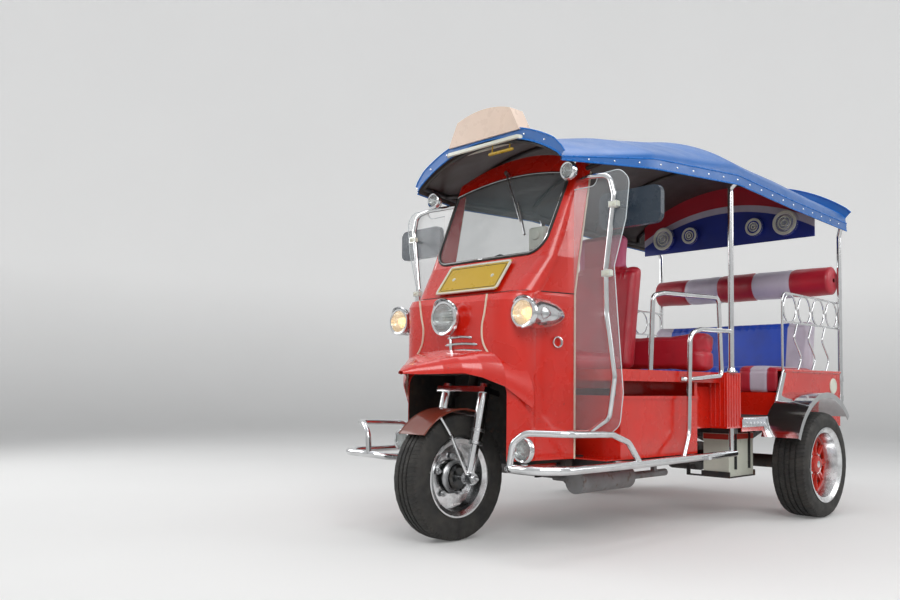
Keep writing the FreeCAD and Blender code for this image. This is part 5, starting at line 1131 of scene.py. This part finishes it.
class TAXI_OT_nose_trim(bpy.types.Operator):
    """Windscreen rubber, beading, seam, bright bars, plate frame and lamp box skirt"""
    bl_idname = "taxi.nose_trim"
    bl_label = "Nose trim"

    def execute(self, context):
        trim = settings("taxi_trim")
        wide = trim.gasket / 2
        section = [(-wide, -0.002), (-wide, 0.003), (-wide * 0.6, 0.0065), (wide * 0.6, 0.0065), (wide, 0.003),
                   (wide, -0.002)]
        Shell().sweep(screen_edge(2), section, closed=True, up=SCREEN_OUT).piece(
            "windscreen_rubber", Palette.get("gasket"), "body", "black_paint", smooth=50)
        Shell().tube(screen_edge(3, 0.0066), 0.0019, 6, closed=True).piece(
            "windscreen_bright_line", Palette.get("chrome"), "body", "chrome")
        self.beading(trim)
        self.bars()
        self.plate()
        self.lamp_box()
        return {"FINISHED"}

    @staticmethod
    def beading(trim):
        """Cream beading up both pillars and beside the middle lamp, and the seam across the nose."""
        beads, seam = Shell(), Shell()
        pillar = curve_points([at(393, 352, 352), at(393, 352, 700), at(393, 352, 1052)], 8)
        pillar += curve_points([at(393, 380, 1206), at(393, 430, 1450), at(393, 460, 1600)], 8)
        flare = curve_points([at(211, 1, 1037), at(197, 1, 960), at(183, 1, 905), at(188, 0, 845), at(214, 0, 800),
                              at(250, 1, 772), at(288, 11, 748), at(332, 35, 671), at(356, 60, 604)], 8)
        for line in both(pillar) + both(flare):
            beads.tube(line, trim.piping, 10)
        beads.piece("nose_beading", Palette.get("piping"), "body", "cream")
        half = [at(x, y, 1052) for x, y in ((0, 83.4), (267, 83.4), (300, 90), (322, 101), (334, 110), (346, 138),
                                            (357, 180), (376, 270), (392.5, 351))]
        line = mirrored(half[::-1]) + half[1:]
        seam.tube(line, 0.0022, 6)
        seam.piece("nose_seam", Palette.get("gasket"), "body", "black_paint")

    @staticmethod
    def bars():
        """Plain bright bars low on the nose, joined by an upright."""
        bars = Shell()
        section = bar_section(-0.003, 0.005)
        for low, high, z in ((-50, 186, 800), (-36, 160, 828), (-22, 128, 858)):
            path = [at(low + (high - low) * k / 12, -1.0, z + 6 * math.sin(math.pi * k / 12)) for k in range(13)]
            bars.sweep(path, section, [0.35] + [1.0] * 11 + [0.35], up=FORWARD)
        bars.sweep([at(4, -3, 794), at(2, -4, 830), at(-4, -3, 868)], section, [1.1, 1.3, 0.7], up=FORWARD)
        bars.piece("nose_bars", Palette.get("chrome"), "body", "chrome")

    @staticmethod
    def plate():
        """Frame, bolts and border of the blank plate, which leans on the scuttle."""
        start = at(0, 84, 1052) + SCUTTLE_RISE * 0.008 + SCUTTLE_OUT * 0.015
        half, tall = 0.190, 0.168

        def corner(x, rise, out=0.0):
            return start + Vector((x, 0, 0)) + SCUTTLE_RISE * rise + SCUTTLE_OUT * out

        def ring(inset, out, radius=0.012):
            edge = inset + radius
            box = rounded_box(half - edge, (edge, tall - edge), (radius, radius), 5)
            return [corner(x, rise, out) for x, rise in box]

        section = bar_section(-0.0035, 0.004)
        frame_bars = Shell().sweep(ring(0.004, 0.0), section, closed=True, up=SCUTTLE_OUT)
        for x in (-0.12, 0.12):
            frame_bars.bolt(corner(x, 0.084), SCUTTLE_OUT, 0.006, 0.004)
        frame_bars.piece("plate_frame", Palette.get("pale"), "body", "cream")
        section = [(-0.0013, -0.0005), (-0.0013, 0.0006), (0.0013, 0.0006), (0.0013, -0.0005)]
        line = Shell().sweep(ring(0.018, 0.0002), section, closed=True, up=SCUTTLE_OUT)
        line.piece("plate_border", Palette.get("bakelite"), "body", "yellow_plate")

    @staticmethod
    def lamp_box():
        """Skirt under the box on the roof and strip lamp under the visor."""
        line = rounded_box(214, (ROOF_FRONT, 252), (14, 14), 4)
        path = [at(x, y, 1000 * roof_height(x, max(y, ROOF_FRONT)) + 3) for x, y in line]
        skirt = Shell().sweep(path, [(-0.009, -0.003), (-0.009, 0.003), (0.0, 0.012), (0.005, 0.012), (0.006, -0.003)],
                              closed=True, up=(0, 0, 1))
        skirt.piece("lamp_box_skirt", Palette.get("pale"), "body", "cream")
        strip = Shell().block(at(9, 206, 1694), at(158, 220, 1708), 0.004)
        for x in (30, 136):
            strip.tube([at(x, 213, 1706), at(x, 217, roof_height(x, 217) * 1000 - 14)], 0.003, 8)
        strip.piece("visor_strip_lamp", Palette.get("plate"), "body", "amber")


class TAXI_OT_side_trim(bpy.types.Operator):
    """Mirrors, screen clamps, amber lamp rings, doorway strips, column flutes and floor mat"""
    bl_idname = "taxi.side_trim"
    bl_label = "Side trim"

    def execute(self, context):
        self.mirror_faces()
        self.clamps()
        self.doorways(settings("taxi_trim"))
        self.mat()
        self.rear()
        return {"FINISHED"}

    @staticmethod
    def mirror_faces():
        """Slightly domed mirror glasses and the rims round them."""
        glass, ring = Shell(), Shell()
        for side in SIDES:
            middle = at(646 * side, 410.5, 1393)
            outer = [at((646 + x) * side, 410.5, 1393 + z) for x, z in rounded_box(112, (-49, 49), (28, 20), 7)]
            rows = [[middle + (point - middle) * share + Vector((0, bulge, 0)) for point in outer]
                    for share, bulge in ((1, 0), (0.97, 0.0015), (0.6, 0.0022), (0.2, 0.0026))]
            glass.grid(rows, wrap=True, cap=True)
            ring.tube([point + Vector((0, 0.001, 0)) for point in outer], 0.0035, 8, closed=True)
        glass.piece("mirror_glasses", Palette.get("mirror"), "body", "chrome")
        ring.piece("mirror_rims", Palette.get("bakelite"), "body", "black_paint")

    @staticmethod
    def clamps():
        """White clamps on the screen tubes, pale tubes along the clear screens' edges as a painted highlight, and
        rings of the amber lamps.
        """
        clamps, rings, edges = Shell(), Shell(), Shell()
        for side in SIDES:
            for x, z in ((621, 1400), (587, 1120)):
                centre = at(x * side, 318, z)
                low, high = Vector((-0.023, -0.0155, -0.0145)), Vector((0.023, 0.012, 0.0145))
                clamps.block(centre + low, centre + high, 0.005)
                clamps.bolt(centre + Vector((side * 0.008, -0.0155, 0)), FORWARD, 0.0055, 0.005)
            foot = at(352 * side, 262, 842)
            out = Vector((0.94 * side, -0.34, 0)).normalized()
            ring = [(0.028, 0.0195), (0.028, 0.0235), (0.033, 0.0255), (0.038, 0.0235), (0.039, 0.0198)]
            rings.lathe(ring, foot, out, 28)
            rings.lathe([(0.0145, 0.0198), (0.0145, 0.027), (0.018, 0.027), (0.019, 0.0198)], foot, out, 28)
        corners = [(406, 1496), (514, 1496), (532, 1540), (640, 1546), (686, 1500), (668, 1336), (612, 1150),
                   (628, 955), (656, 633), (640, 500), (590, 466), (406, 470)]
        for line in both([at(x, 330.5, z) for x, z in rounded(corners, 60)]):
            edges.tube(line, 0.0020, 6)
        # pale opaque tubes round the clear screens: a painted highlight of the light on the acrylic's edges
        bright = plastic("bright_acrylic_edge", (0.70, 0.76, 0.78), 0.2, 300, 0.2)
        edges.piece("screen_edges", bright, "body", "acrylic")
        clamps.piece("screen_clamps", Palette.get("pale"), "body", "cream")
        rings.piece("side_lamp_rings", Palette.get("chrome"), "body", "chrome")

    @staticmethod
    def doorways(trim):
        """Bright strips along the doorways, flutes of the columns, rolled rim and round discs of the tub."""
        strips, rims, flutes, discs = Shell(), Shell(), Shell(), Shell()
        for side in SIDES:
            x = 609.5 * side
            edge = ((1392, 511), (1560, 511), (1700, 511), (1716, 514), (1722, 526), (1770, 626), (1826, 744),
                    (1836, 754), (1850, 757))
            strips.tube([at(x, y, z) for y, z in edge], trim.edge, 10)
            outer = ((1392, 509), (1715, 509), (1828, 750))
            inner = ((1392, 467), (1742, 467), (1872, 742))
            middle = [((a[0] + b[0]) / 2, (a[1] + b[1]) / 2) for a, b in zip(outer, inner)]
            rows = ((608.1, outer), (610.2, outer), (610.6, middle), (610.2, inner), (608.1, inner))
            strips.grid([[at(out * side, y, z) for y, z in line] for out, line in rows])
            for k in range(5):
                y = 1272 + 25 * k
                flutes.tube([at(604.2 * side, y, 472), at(604.2 * side, y, 726)], 0.0032, 8)
            for k in range(4):
                across = (520 + 24 * k) * side
                flutes.tube([at(across, 1253.8, 472), at(across, 1253.8, 726)], 0.0032, 8)
            rims.tube([at(x, 1850, 756), at(x, 2200, 756), at(x, 2560, 756)], 0.0085, 12)
            for k in range(7):
                strips.bolt(at(610.2 * side, 1440 + 36 * k, 488), (side, 0, 0), 0.0045, 0.003)
            disc = [(0.0, 0.045), (0.004, 0.045), (0.007, 0.041), (0.0075, 0.034), (0.005, 0.031), (0.005, 0.0)]
            discs.lathe(disc, at(608 * side, 2470, 677), (side, 0, 0), 36)
        strips.piece("doorway_strips", Palette.get("chrome"), "body", "chrome")
        flutes.piece("column_flutes", Palette.get("paint"), "body", "red_paint")
        discs.piece("side_discs", Palette.get("pale"), "body", "cream")
        back = [at(x, 2570, 756) for x in (-609, -400, 0, 400, 609)]
        rims.tube(back, 0.0085, 12)
        rims.piece("tub_rolled_rim", Palette.get("paint"), "body", "red_paint")

    @staticmethod
    def mat():
        """Ribbed rubber mats on the tub's floor and under the driver's feet, a groove at every third row."""
        rows = []
        for k in range(97):
            y = 1398 + 4.1 * k
            lift = 517.5 + (1.5 if k % 3 else -0.6)
            rows.append([at(x, y, z) for x, z in ((-590, 512.4), (-590, lift), (-300, lift), (0, lift + 0.8),
                                                  (300, lift), (590, lift), (590, 512.4))])
        Shell().grid(rows).piece("tub_floor_mat", Palette.get("gasket"), "body", "grey_board")
        driver = Shell()
        for side in SIDES:
            rows = []
            for k in range(25):
                y = 330 + 4.6 * k
                lift = 361.0 + (1.4 if k % 3 else -0.6)
                rows.append([at(x * side, y, z) for x, z in ((60, 356.4), (60, lift), (210, lift), (372, lift),
                                                             (372, 356.4))])
            driver.grid(rows)
        driver.piece("driver_floor_mat", Palette.get("gasket"), "body", "grey_board")

    @staticmethod
    def rear():
        """Bright rings round the tail lamps."""
        rings = Shell()
        for side in SIDES:
            for x, r in ((490, 0.046), (380, 0.034)):
                ring = [(0.002, r - 0.001), (0.002, r + 0.010), (0.008, r + 0.010), (0.014, r + 0.004),
                        (0.014, r - 0.003)]
                rings.lathe(ring, at(x * side, 2570, 640), (0, 1, 0), 36)
        rings.piece("tail_lamp_rings", Palette.get("chrome"), "body", "chrome")


class TAXI_OT_fittings(bpy.types.Operator):
    """Post flanges, axle nuts, mudguard braces, pedals, dash box and battery fittings"""
    bl_idname = "taxi.fittings"
    bl_label = "Fittings"

    def execute(self, context):
        self.flanges()
        self.front_end()
        self.cab()
        self.battery()
        return {"FINISHED"}

    @staticmethod
    def flanges():
        """Feet of the middle posts with three screws, and clips of the rear posts."""
        feet = Shell()
        for side in SIDES:
            foot = at(600 * side, 1306, 734)
            flange = [(0, 0.030), (0.004, 0.030), (0.006, 0.020), (0.022, 0.0165), (0.024, 0.0137)]
            feet.lathe(flange, foot, (0, 0, 1), 28)
            for k in range(3):
                angle = TURN * (k + 0.2) / 3
                spot = foot + Vector((math.cos(angle) * 0.0235, math.sin(angle) * 0.0235, 0.003))
                feet.bolt(spot, (0, 0, 1), 0.0035, 0.004)
            for z in (608, 720):
                clip = [(-0.018, 0.0137), (-0.016, 0.0165), (0.016, 0.0165), (0.018, 0.0137)]
                feet.lathe(clip, at(606 * side, 2583.5, z), (0, 0, 1), 28)
                feet.bolt(at(606 * side, 2599.5, z), (0, 1, 0), 0.0045, 0.005)
        feet.piece("post_flanges", Palette.get("chrome"), "body", "chrome")

    @staticmethod
    def front_end():
        """Axle nuts, collars of the fork's legs, beaded edge of the mudguard and its braces."""
        nuts = Shell()
        hub = at(*FRONT_WHEEL)
        rake = math.radians(14)
        leg = Vector((0, math.sin(rake), math.cos(rake)))
        for side in SIDES:
            end = hub + Vector((side * 0.143, 0, 0))
            nuts.bolt(end, (side, 0, 0), 0.015, 0.012)
            nuts.lathe([(0.010, 0.0075), (0.024, 0.0075), (0.026, 0.005), (0.026, 0)], end, (side, 0, 0), 12)
            for along in (0.150, 0.205):
                spot = hub + Vector((side * 0.116, 0, 0)) + leg * along
                nuts.lathe([(-0.006, 0.0272), (-0.006, 0.0305), (0.006, 0.0305), (0.006, 0.0272)], spot, leg, 28)
        nuts.piece("axle_nuts", Palette.get("steel"), "fork", "steel")
        guard = Shell()
        # the mudguard's edge stands 19.5 mm outside the tyre
        radius = hub.z + 0.0195
        turns = [math.radians(angle) for angle in range(40, 119, 3)]
        for side in SIDES:
            path = [hub + Vector((side * 0.0765, -radius * math.cos(turn), radius * math.sin(turn))) for turn in turns]
            guard.tube(path, 0.0042, 8)
        guard.piece("mudguard_bead", Palette.get("mudguard"), "fork", "red_paint")
        braces = Shell()
        for side in SIDES:
            top, knee, foot = at(72 * side, -125.6, 526), at(96 * side, -84, 444.5), at(116 * side, -12, 280.5)
            braces.tube([top, knee, foot], 0.0064, 10)
            braces.lathe([(-0.005, 0.009), (0.005, 0.009), (0.005, 0)], knee, (side, 0, 0), 12)
        braces.piece("guard_braces", Palette.get("chrome"), "fork", "chrome")

    @staticmethod
    def cab():
        """Small dash box with a gauge behind the windscreen, and two ribbed pedals."""
        dash = Shell().block(at(184, 285, 1250), at(278, 318, 1354), 0.007)
        dash.lathe([(0, 0.020), (0.004, 0.022), (0.007, 0.019), (0.0075, 0)], at(230, 285, 1318), FORWARD, 28)
        dash.tube([at(231, 312, 1252), at(231, 305, 1225), at(231, 280, 1204)], 0.006, 8)
        dash.piece("dash_box", Palette.get("pale"), "body", "grey_board")
        pedals = Shell()
        for x in (150, 215):
            pedals.block(at(x - 22, 352, 398), at(x + 22, 360, 446), 0.004)
            pedals.tube([at(x, 358, 420), at(x, 372, 395), at(x, 376, 362)], 0.006, 8)
            for k in range(4):
                pedals.tube([at(x - 19, 351.5, 404 + 12 * k), at(x + 19, 351.5, 404 + 12 * k)], 0.0022, 6)
        pedals.piece("pedals", Palette.get("black"), "body", "black_paint")

    @staticmethod
    def battery():
        """Straps, lid, six cell caps and two terminals of the battery."""
        straps = Shell()
        course = ((377, 250), (377, 431), (380, 433), (520, 433), (523, 431), (523, 250))
        section = [(-0.011, -0.001), (-0.011, 0.0015), (0.011, 0.0015), (0.011, -0.001)]
        for y in (1480, 1620):
            straps.sweep([at(x, y, z) for x, z in course], section, up=(0, 1, 0))
        straps.piece("battery_straps", Palette.get("bakelite"), "body", "black_paint")
        lid = Shell().block(at(377, 1422, 397), at(523, 1678, 430.8), 0.004)
        lid.piece("battery_lid", Palette.get("red_plastic"), "body", "battery")
        caps = Shell()
        for k in range(6):
            cap = [(0, 0.013), (0.007, 0.013), (0.009, 0.010), (0.009, 0)]
            caps.lathe(cap, at(478, 1462 + 35 * k, 430.5), (0, 0, 1), 20)
        for y in (1459, 1641):
            caps.block(at(401, y - 13, 438), at(428, y + 13, 452), 0.003)
        caps.piece("battery_caps", Palette.get("bakelite"), "body", "battery")


# Padded parts

class Pad:
    """A padded piece grown from blocks: even mesh, inflated cover, sewn channels and seams."""

    def __init__(self, name, blocks, room, lean=0.0, foot=0.0, height=1.0):
        """blocks and room are corner pairs in millimetres; lean is how far the top stands behind the foot."""
        self.name = name
        self.room = [at(*corner) for corner in room]
        self.lean, self.foot, self.height = lean / 1000, foot / 1000, height / 1000
        shell = Shell()
        for low, high in blocks:
            shell.block(at(*low), at(*high), 0.020)
        mesh = bpy.data.meshes.new(name)
        mesh.from_pydata([tuple(point) for point in shell.points], [], shell.faces)
        self.made = bpy.data.objects.new(name, mesh)
        bpy.context.scene.collection.objects.link(self.made)
        tidy_mesh(self.made, 30)
        self.modify("REMESH", mode="VOXEL", voxel_size=settings("taxi_seats").voxel)
        self.smooth(2, 0.5)

    def modify(self, kind, **props):
        """Apply one modifier."""
        modifier = self.made.modifiers.new(kind.lower(), kind)
        for key, value in props.items():
            setattr(modifier, key, value)
        graph = bpy.context.evaluated_depsgraph_get()
        mesh = bpy.data.meshes.new_from_object(self.made.evaluated_get(graph))
        self.made.modifiers.remove(modifier)
        self.made.data = mesh
        return self

    def smooth(self, repeat, factor):
        return self.modify("SMOOTH", iterations=repeat, factor=factor)

    def inflate(self, most=0.014):
        """Cloth under pressure, with the movement of each point held to a limit."""
        seats = settings("taxi_seats")
        start = [vertex.co.copy() for vertex in self.made.data.vertices]
        modifier = self.made.modifiers.new("cover", "CLOTH")
        modifier.settings.use_pressure = True
        modifier.settings.uniform_pressure_force = seats.pressure
        modifier.settings.effector_weights.gravity = 0
        modifier.settings.quality = 4
        modifier.collision_settings.use_collision = False
        scene = bpy.context.scene
        for step in range(1, seats.frames + 1):
            scene.frame_set(step)
        graph = bpy.context.evaluated_depsgraph_get()
        mesh = bpy.data.meshes.new_from_object(self.made.evaluated_get(graph))
        self.made.modifiers.remove(modifier)
        for vertex, old in zip(mesh.vertices, start):
            move = vertex.co - old
            if move.length > most:
                vertex.co = old + move * (most / move.length)
        self.made.data = mesh
        scene.frame_set(1)
        return self.smooth(2, 0.5)

    def push(self, amount):
        """Move every point along its normal by amount(point, normal)."""
        mesh = self.made.data
        normals = [vertex.normal.copy() for vertex in mesh.vertices]
        for vertex, normal in zip(mesh.vertices, normals):
            vertex.co += normal * amount(vertex.co, normal)
        return self

    def finish(self, material, slot, node, fill=0.6):
        """Hold every point inside the room, lean the pad back, give it its finish and attach it to the body."""
        low, high = self.room
        for vertex in self.made.data.vertices:
            for axis in range(3):
                vertex.co[axis] = min(max(vertex.co[axis], low[axis]), high[axis])
            vertex.co.y += self.lean * min(1.0, (vertex.co.z - self.foot) / self.height)
        self.made.data.materials.append(material)
        self.made.data.shade_smooth()
        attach(self.made, "body")
        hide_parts(*node)
        return self.made


def pleat(position, pitch):
    """0 on the round of a pleat and 1 in its channel."""
    return 1 - math.sqrt(abs(math.sin(math.pi * position / pitch)))


def dip(distance, width):
    """1 in the middle of a seam, falling to 0 beside it."""
    return math.exp(-(distance / width) ** 2)


class TAXI_OT_seats(bpy.types.Operator):
    """Driver's seat, pads, bench, bench back and bolster as inflated covers with sewn channels"""
    bl_idname = "taxi.seats"
    bl_label = "Seats"

    def execute(self, context):
        s = settings("taxi_seats")
        c = settings("taxi_colours")
        red, blue, white, pink = (tuple(tone) for tone in (c.red_seat, c.blue_seat, c.white_seat, c.pink_seat))
        deep, pitch, seam = s.channel_depth, s.channel_pitch, s.seam_depth

        def width(f, low, high):
            return f.inside(f.math("ABSOLUTE", f.x), low, high)

        def seat_top(p, n):
            flat = max(n.z, 0.0) if abs(p.x) < 0.17 else 0.0
            return (-deep * pleat(p.x, pitch) * flat - seam * dip(abs(p.x) - 0.175, 0.006) * max(n.z, 0)
                    - seam * dip(p.z - 0.792, 0.006) * (1 - abs(n.z)))
        pad = Pad("driver_cushion", [((-237, 561, 734), (237, 956, 812))], [(-247, 550, 733.5), (247, 958.5, 826)])
        pad.inflate().modify("SUBSURF", levels=1).push(seat_top).finish(
            Palette.get("red"), "red_leather", ["driver_seat_cushion"])

        def back_face(p, n):
            front = max(-n.y, 0.0) if abs(p.x) < 0.16 and p.z < 1.235 else 0.0
            return (-deep * pleat(p.x, pitch) * front - seam * dip(abs(p.x) - 0.165, 0.006) * max(-n.y, 0)
                    - seam * dip(p.z - 1.243, 0.006) * max(-n.y, 0))
        pad = Pad("driver_back", [((-241, 965, 735), (241, 1046, 1270)), ((-147, 963, 1250), (147, 1040, 1453))],
                  [(-250, 961, 733.5), (250, 1052, 1464)], 80, 733, 540)
        pad.inflate().modify("SUBSURF", levels=1).push(back_face).finish(
            leather("headrest_leathercloth", red, [(lambda f: f.math("MULTIPLY", width(f, 0.085, 0.30), f.span(
                f.z, 1.268, 1.272)), pink)]), "red_leather", ["driver_seat_back"])

        def rib(p, n):
            return (-seam * 1.2 * dip(p.z - 0.83, 0.007) * (1 - abs(n.z))
                    - deep * pleat(p.x, 0.18) * 0.5 * (1 - abs(n.x)))
        pad = Pad("rear_pad", [((-556, 1134, 735), (556, 1246, 925))], [(-563, 1128, 733.5), (563, 1249.5, 934)])
        pad.inflate().modify("SUBSURF", levels=1).push(rib).finish(
            Palette.get("red"), "red_leather", ["partition_pad"])

        def bench_top(p, n):
            up = max(n.z, 0.0) + max(-n.y, 0.0) * 0.8
            centre = up if abs(p.x) < 0.37 else 0.0
            edges = sum(dip(abs(p.x) - edge, 0.005) for edge in (0.375, 0.435, 0.53))
            return (-deep * pleat(p.x, pitch) * centre - seam * edges * up
                    - seam * dip(p.z - 0.752, 0.005) * max(-n.y, 0))
        stripes = [(lambda f: width(f, 0.375, 0.435), red), (lambda f: width(f, 0.435, 0.53), white),
                   (lambda f: width(f, 0.53, 0.70), red)]
        pad = Pad("bench_seat", [((-544, 1803, 640), (544, 2310, 773)), ((-570, 1803, 758), (570, 2310, 774)),
                                 ((-600, 1802, 642), (600, 1826, 774))], [(-602, 1790, 639), (602, 2313, 792)])

        def tuck(top):
            """Keep what lies behind the front roll and under a height between the tub's sides."""
            for vertex in pad.made.data.vertices:
                if vertex.co.z < top and vertex.co.y > at(0, 1829, 0).y:
                    vertex.co.x = max(-0.5465, min(0.5465, vertex.co.x))
        tuck(0.756)
        pad.inflate(0.009).modify("SUBSURF", levels=1).push(bench_top)
        tuck(0.7575)
        pad.finish(leather("striped_leathercloth", blue, stripes), "blue_leather", ["bench_cushion"])

        def bench_front(p, n):
            front = max(-n.y, 0.0)
            centre = front if abs(p.x) < 0.385 and p.z > 0.70 else 0.0
            return (-deep * pleat(p.x, pitch) * centre - seam * dip(abs(p.x) - 0.39, 0.005) * front
                    - seam * dip(p.z - 1.035, 0.006) * front)
        pad = Pad("bench_rest", [((-535, 2319, 640), (535, 2406, 1062))],
                  [(-537, 2316, 639), (537, 2409, 1072)], 60, 638, 426)
        pleated = leather("pleated_leathercloth", blue, [(lambda f: width(f, 0.39, 0.70), white)])
        pad.inflate(0.012).modify("SUBSURF", levels=1).push(bench_front).finish(
            pleated, "blue_leather", ["bench_back"])
        self.roll(red, white, seam)
        return {"FINISHED"}

    @staticmethod
    def roll(red, white, seam):
        """Round bolster with banded covers and gathered ends."""
        half, radius = 0.588, 0.087
        edges = (0.118, 0.353)
        profile = [(-half, 0.012), (-half + 0.002, 0.030), (-half - 0.004, 0.050), (-half + 0.004, 0.070)]
        for k in range(93):
            along = -half + 0.012 + (2 * half - 0.024) * k / 92
            pull = sum(dip(abs(along) - edge, 0.008) for edge in edges) * seam
            crown = 0.004 * math.cos(along / half * QUARTER)
            profile.append((along, radius - 0.004 + crown - pull))
        profile += [(half - 0.004, 0.070), (half + 0.004, 0.050), (half - 0.002, 0.030), (half, 0.012)]
        middle = at(*ROLL)
        shell = Shell().lathe(profile, middle, (1, 0, 0), 48)
        for k, point in enumerate(shell.points):
            away = point - Vector((point.x, middle.y, middle.z))
            ripple = noise.noise(Vector((point.x * 9, away.y * 16, away.z * 16))) * 0.003
            shell.points[k] = point + away.normalized() * ripple
        band = leather("banded_leathercloth", red, [(lambda f: f.inside(f.math("ABSOLUTE", f.x), *edges), white)])
        roll = shell.piece("striped_roll", band, "body", "red_leather", ("bolster",), 60)


STEPS = (TAXI_OT_stage, TAXI_OT_finishes, TAXI_OT_tyres, TAXI_OT_wheel_details, TAXI_OT_roof, TAXI_OT_lamps,
         TAXI_OT_nose_trim, TAXI_OT_side_trim, TAXI_OT_fittings, TAXI_OT_seats)


class TAXI_PT_panel(bpy.types.Panel):
    """Sizes, colours and building steps of the taxi's dressing"""
    bl_label = "Open Taxi"
    bl_idname = "TAXI_PT_panel"
    bl_space_type = "VIEW_3D"
    bl_region_type = "UI"
    bl_category = "Taxi"

    def draw(self, context):
        for name, group in GROUPS.items():
            box = self.layout.box()
            box.label(text=name.replace("taxi_", "").capitalize())
            for key in group.__annotations__:
                box.prop(getattr(context.scene, name), key)
        for step in STEPS:
            self.layout.operator(step.bl_idname)


def register():
    for kind in (*GROUPS.values(), *STEPS, TAXI_PT_panel):
        bpy.utils.register_class(kind)
    for name, group in GROUPS.items():
        setattr(bpy.types.Scene, name, PointerProperty(type=group))


def unregister():
    for name in GROUPS:
        delattr(bpy.types.Scene, name)
    for kind in reversed((*GROUPS.values(), *STEPS, TAXI_PT_panel)):
        bpy.utils.unregister_class(kind)


def main():
    register()
    for step in STEPS:
        family, name = step.bl_idname.split(".")
        getattr(getattr(bpy.ops, family), name)()


if __name__ == "__main__":
    main()
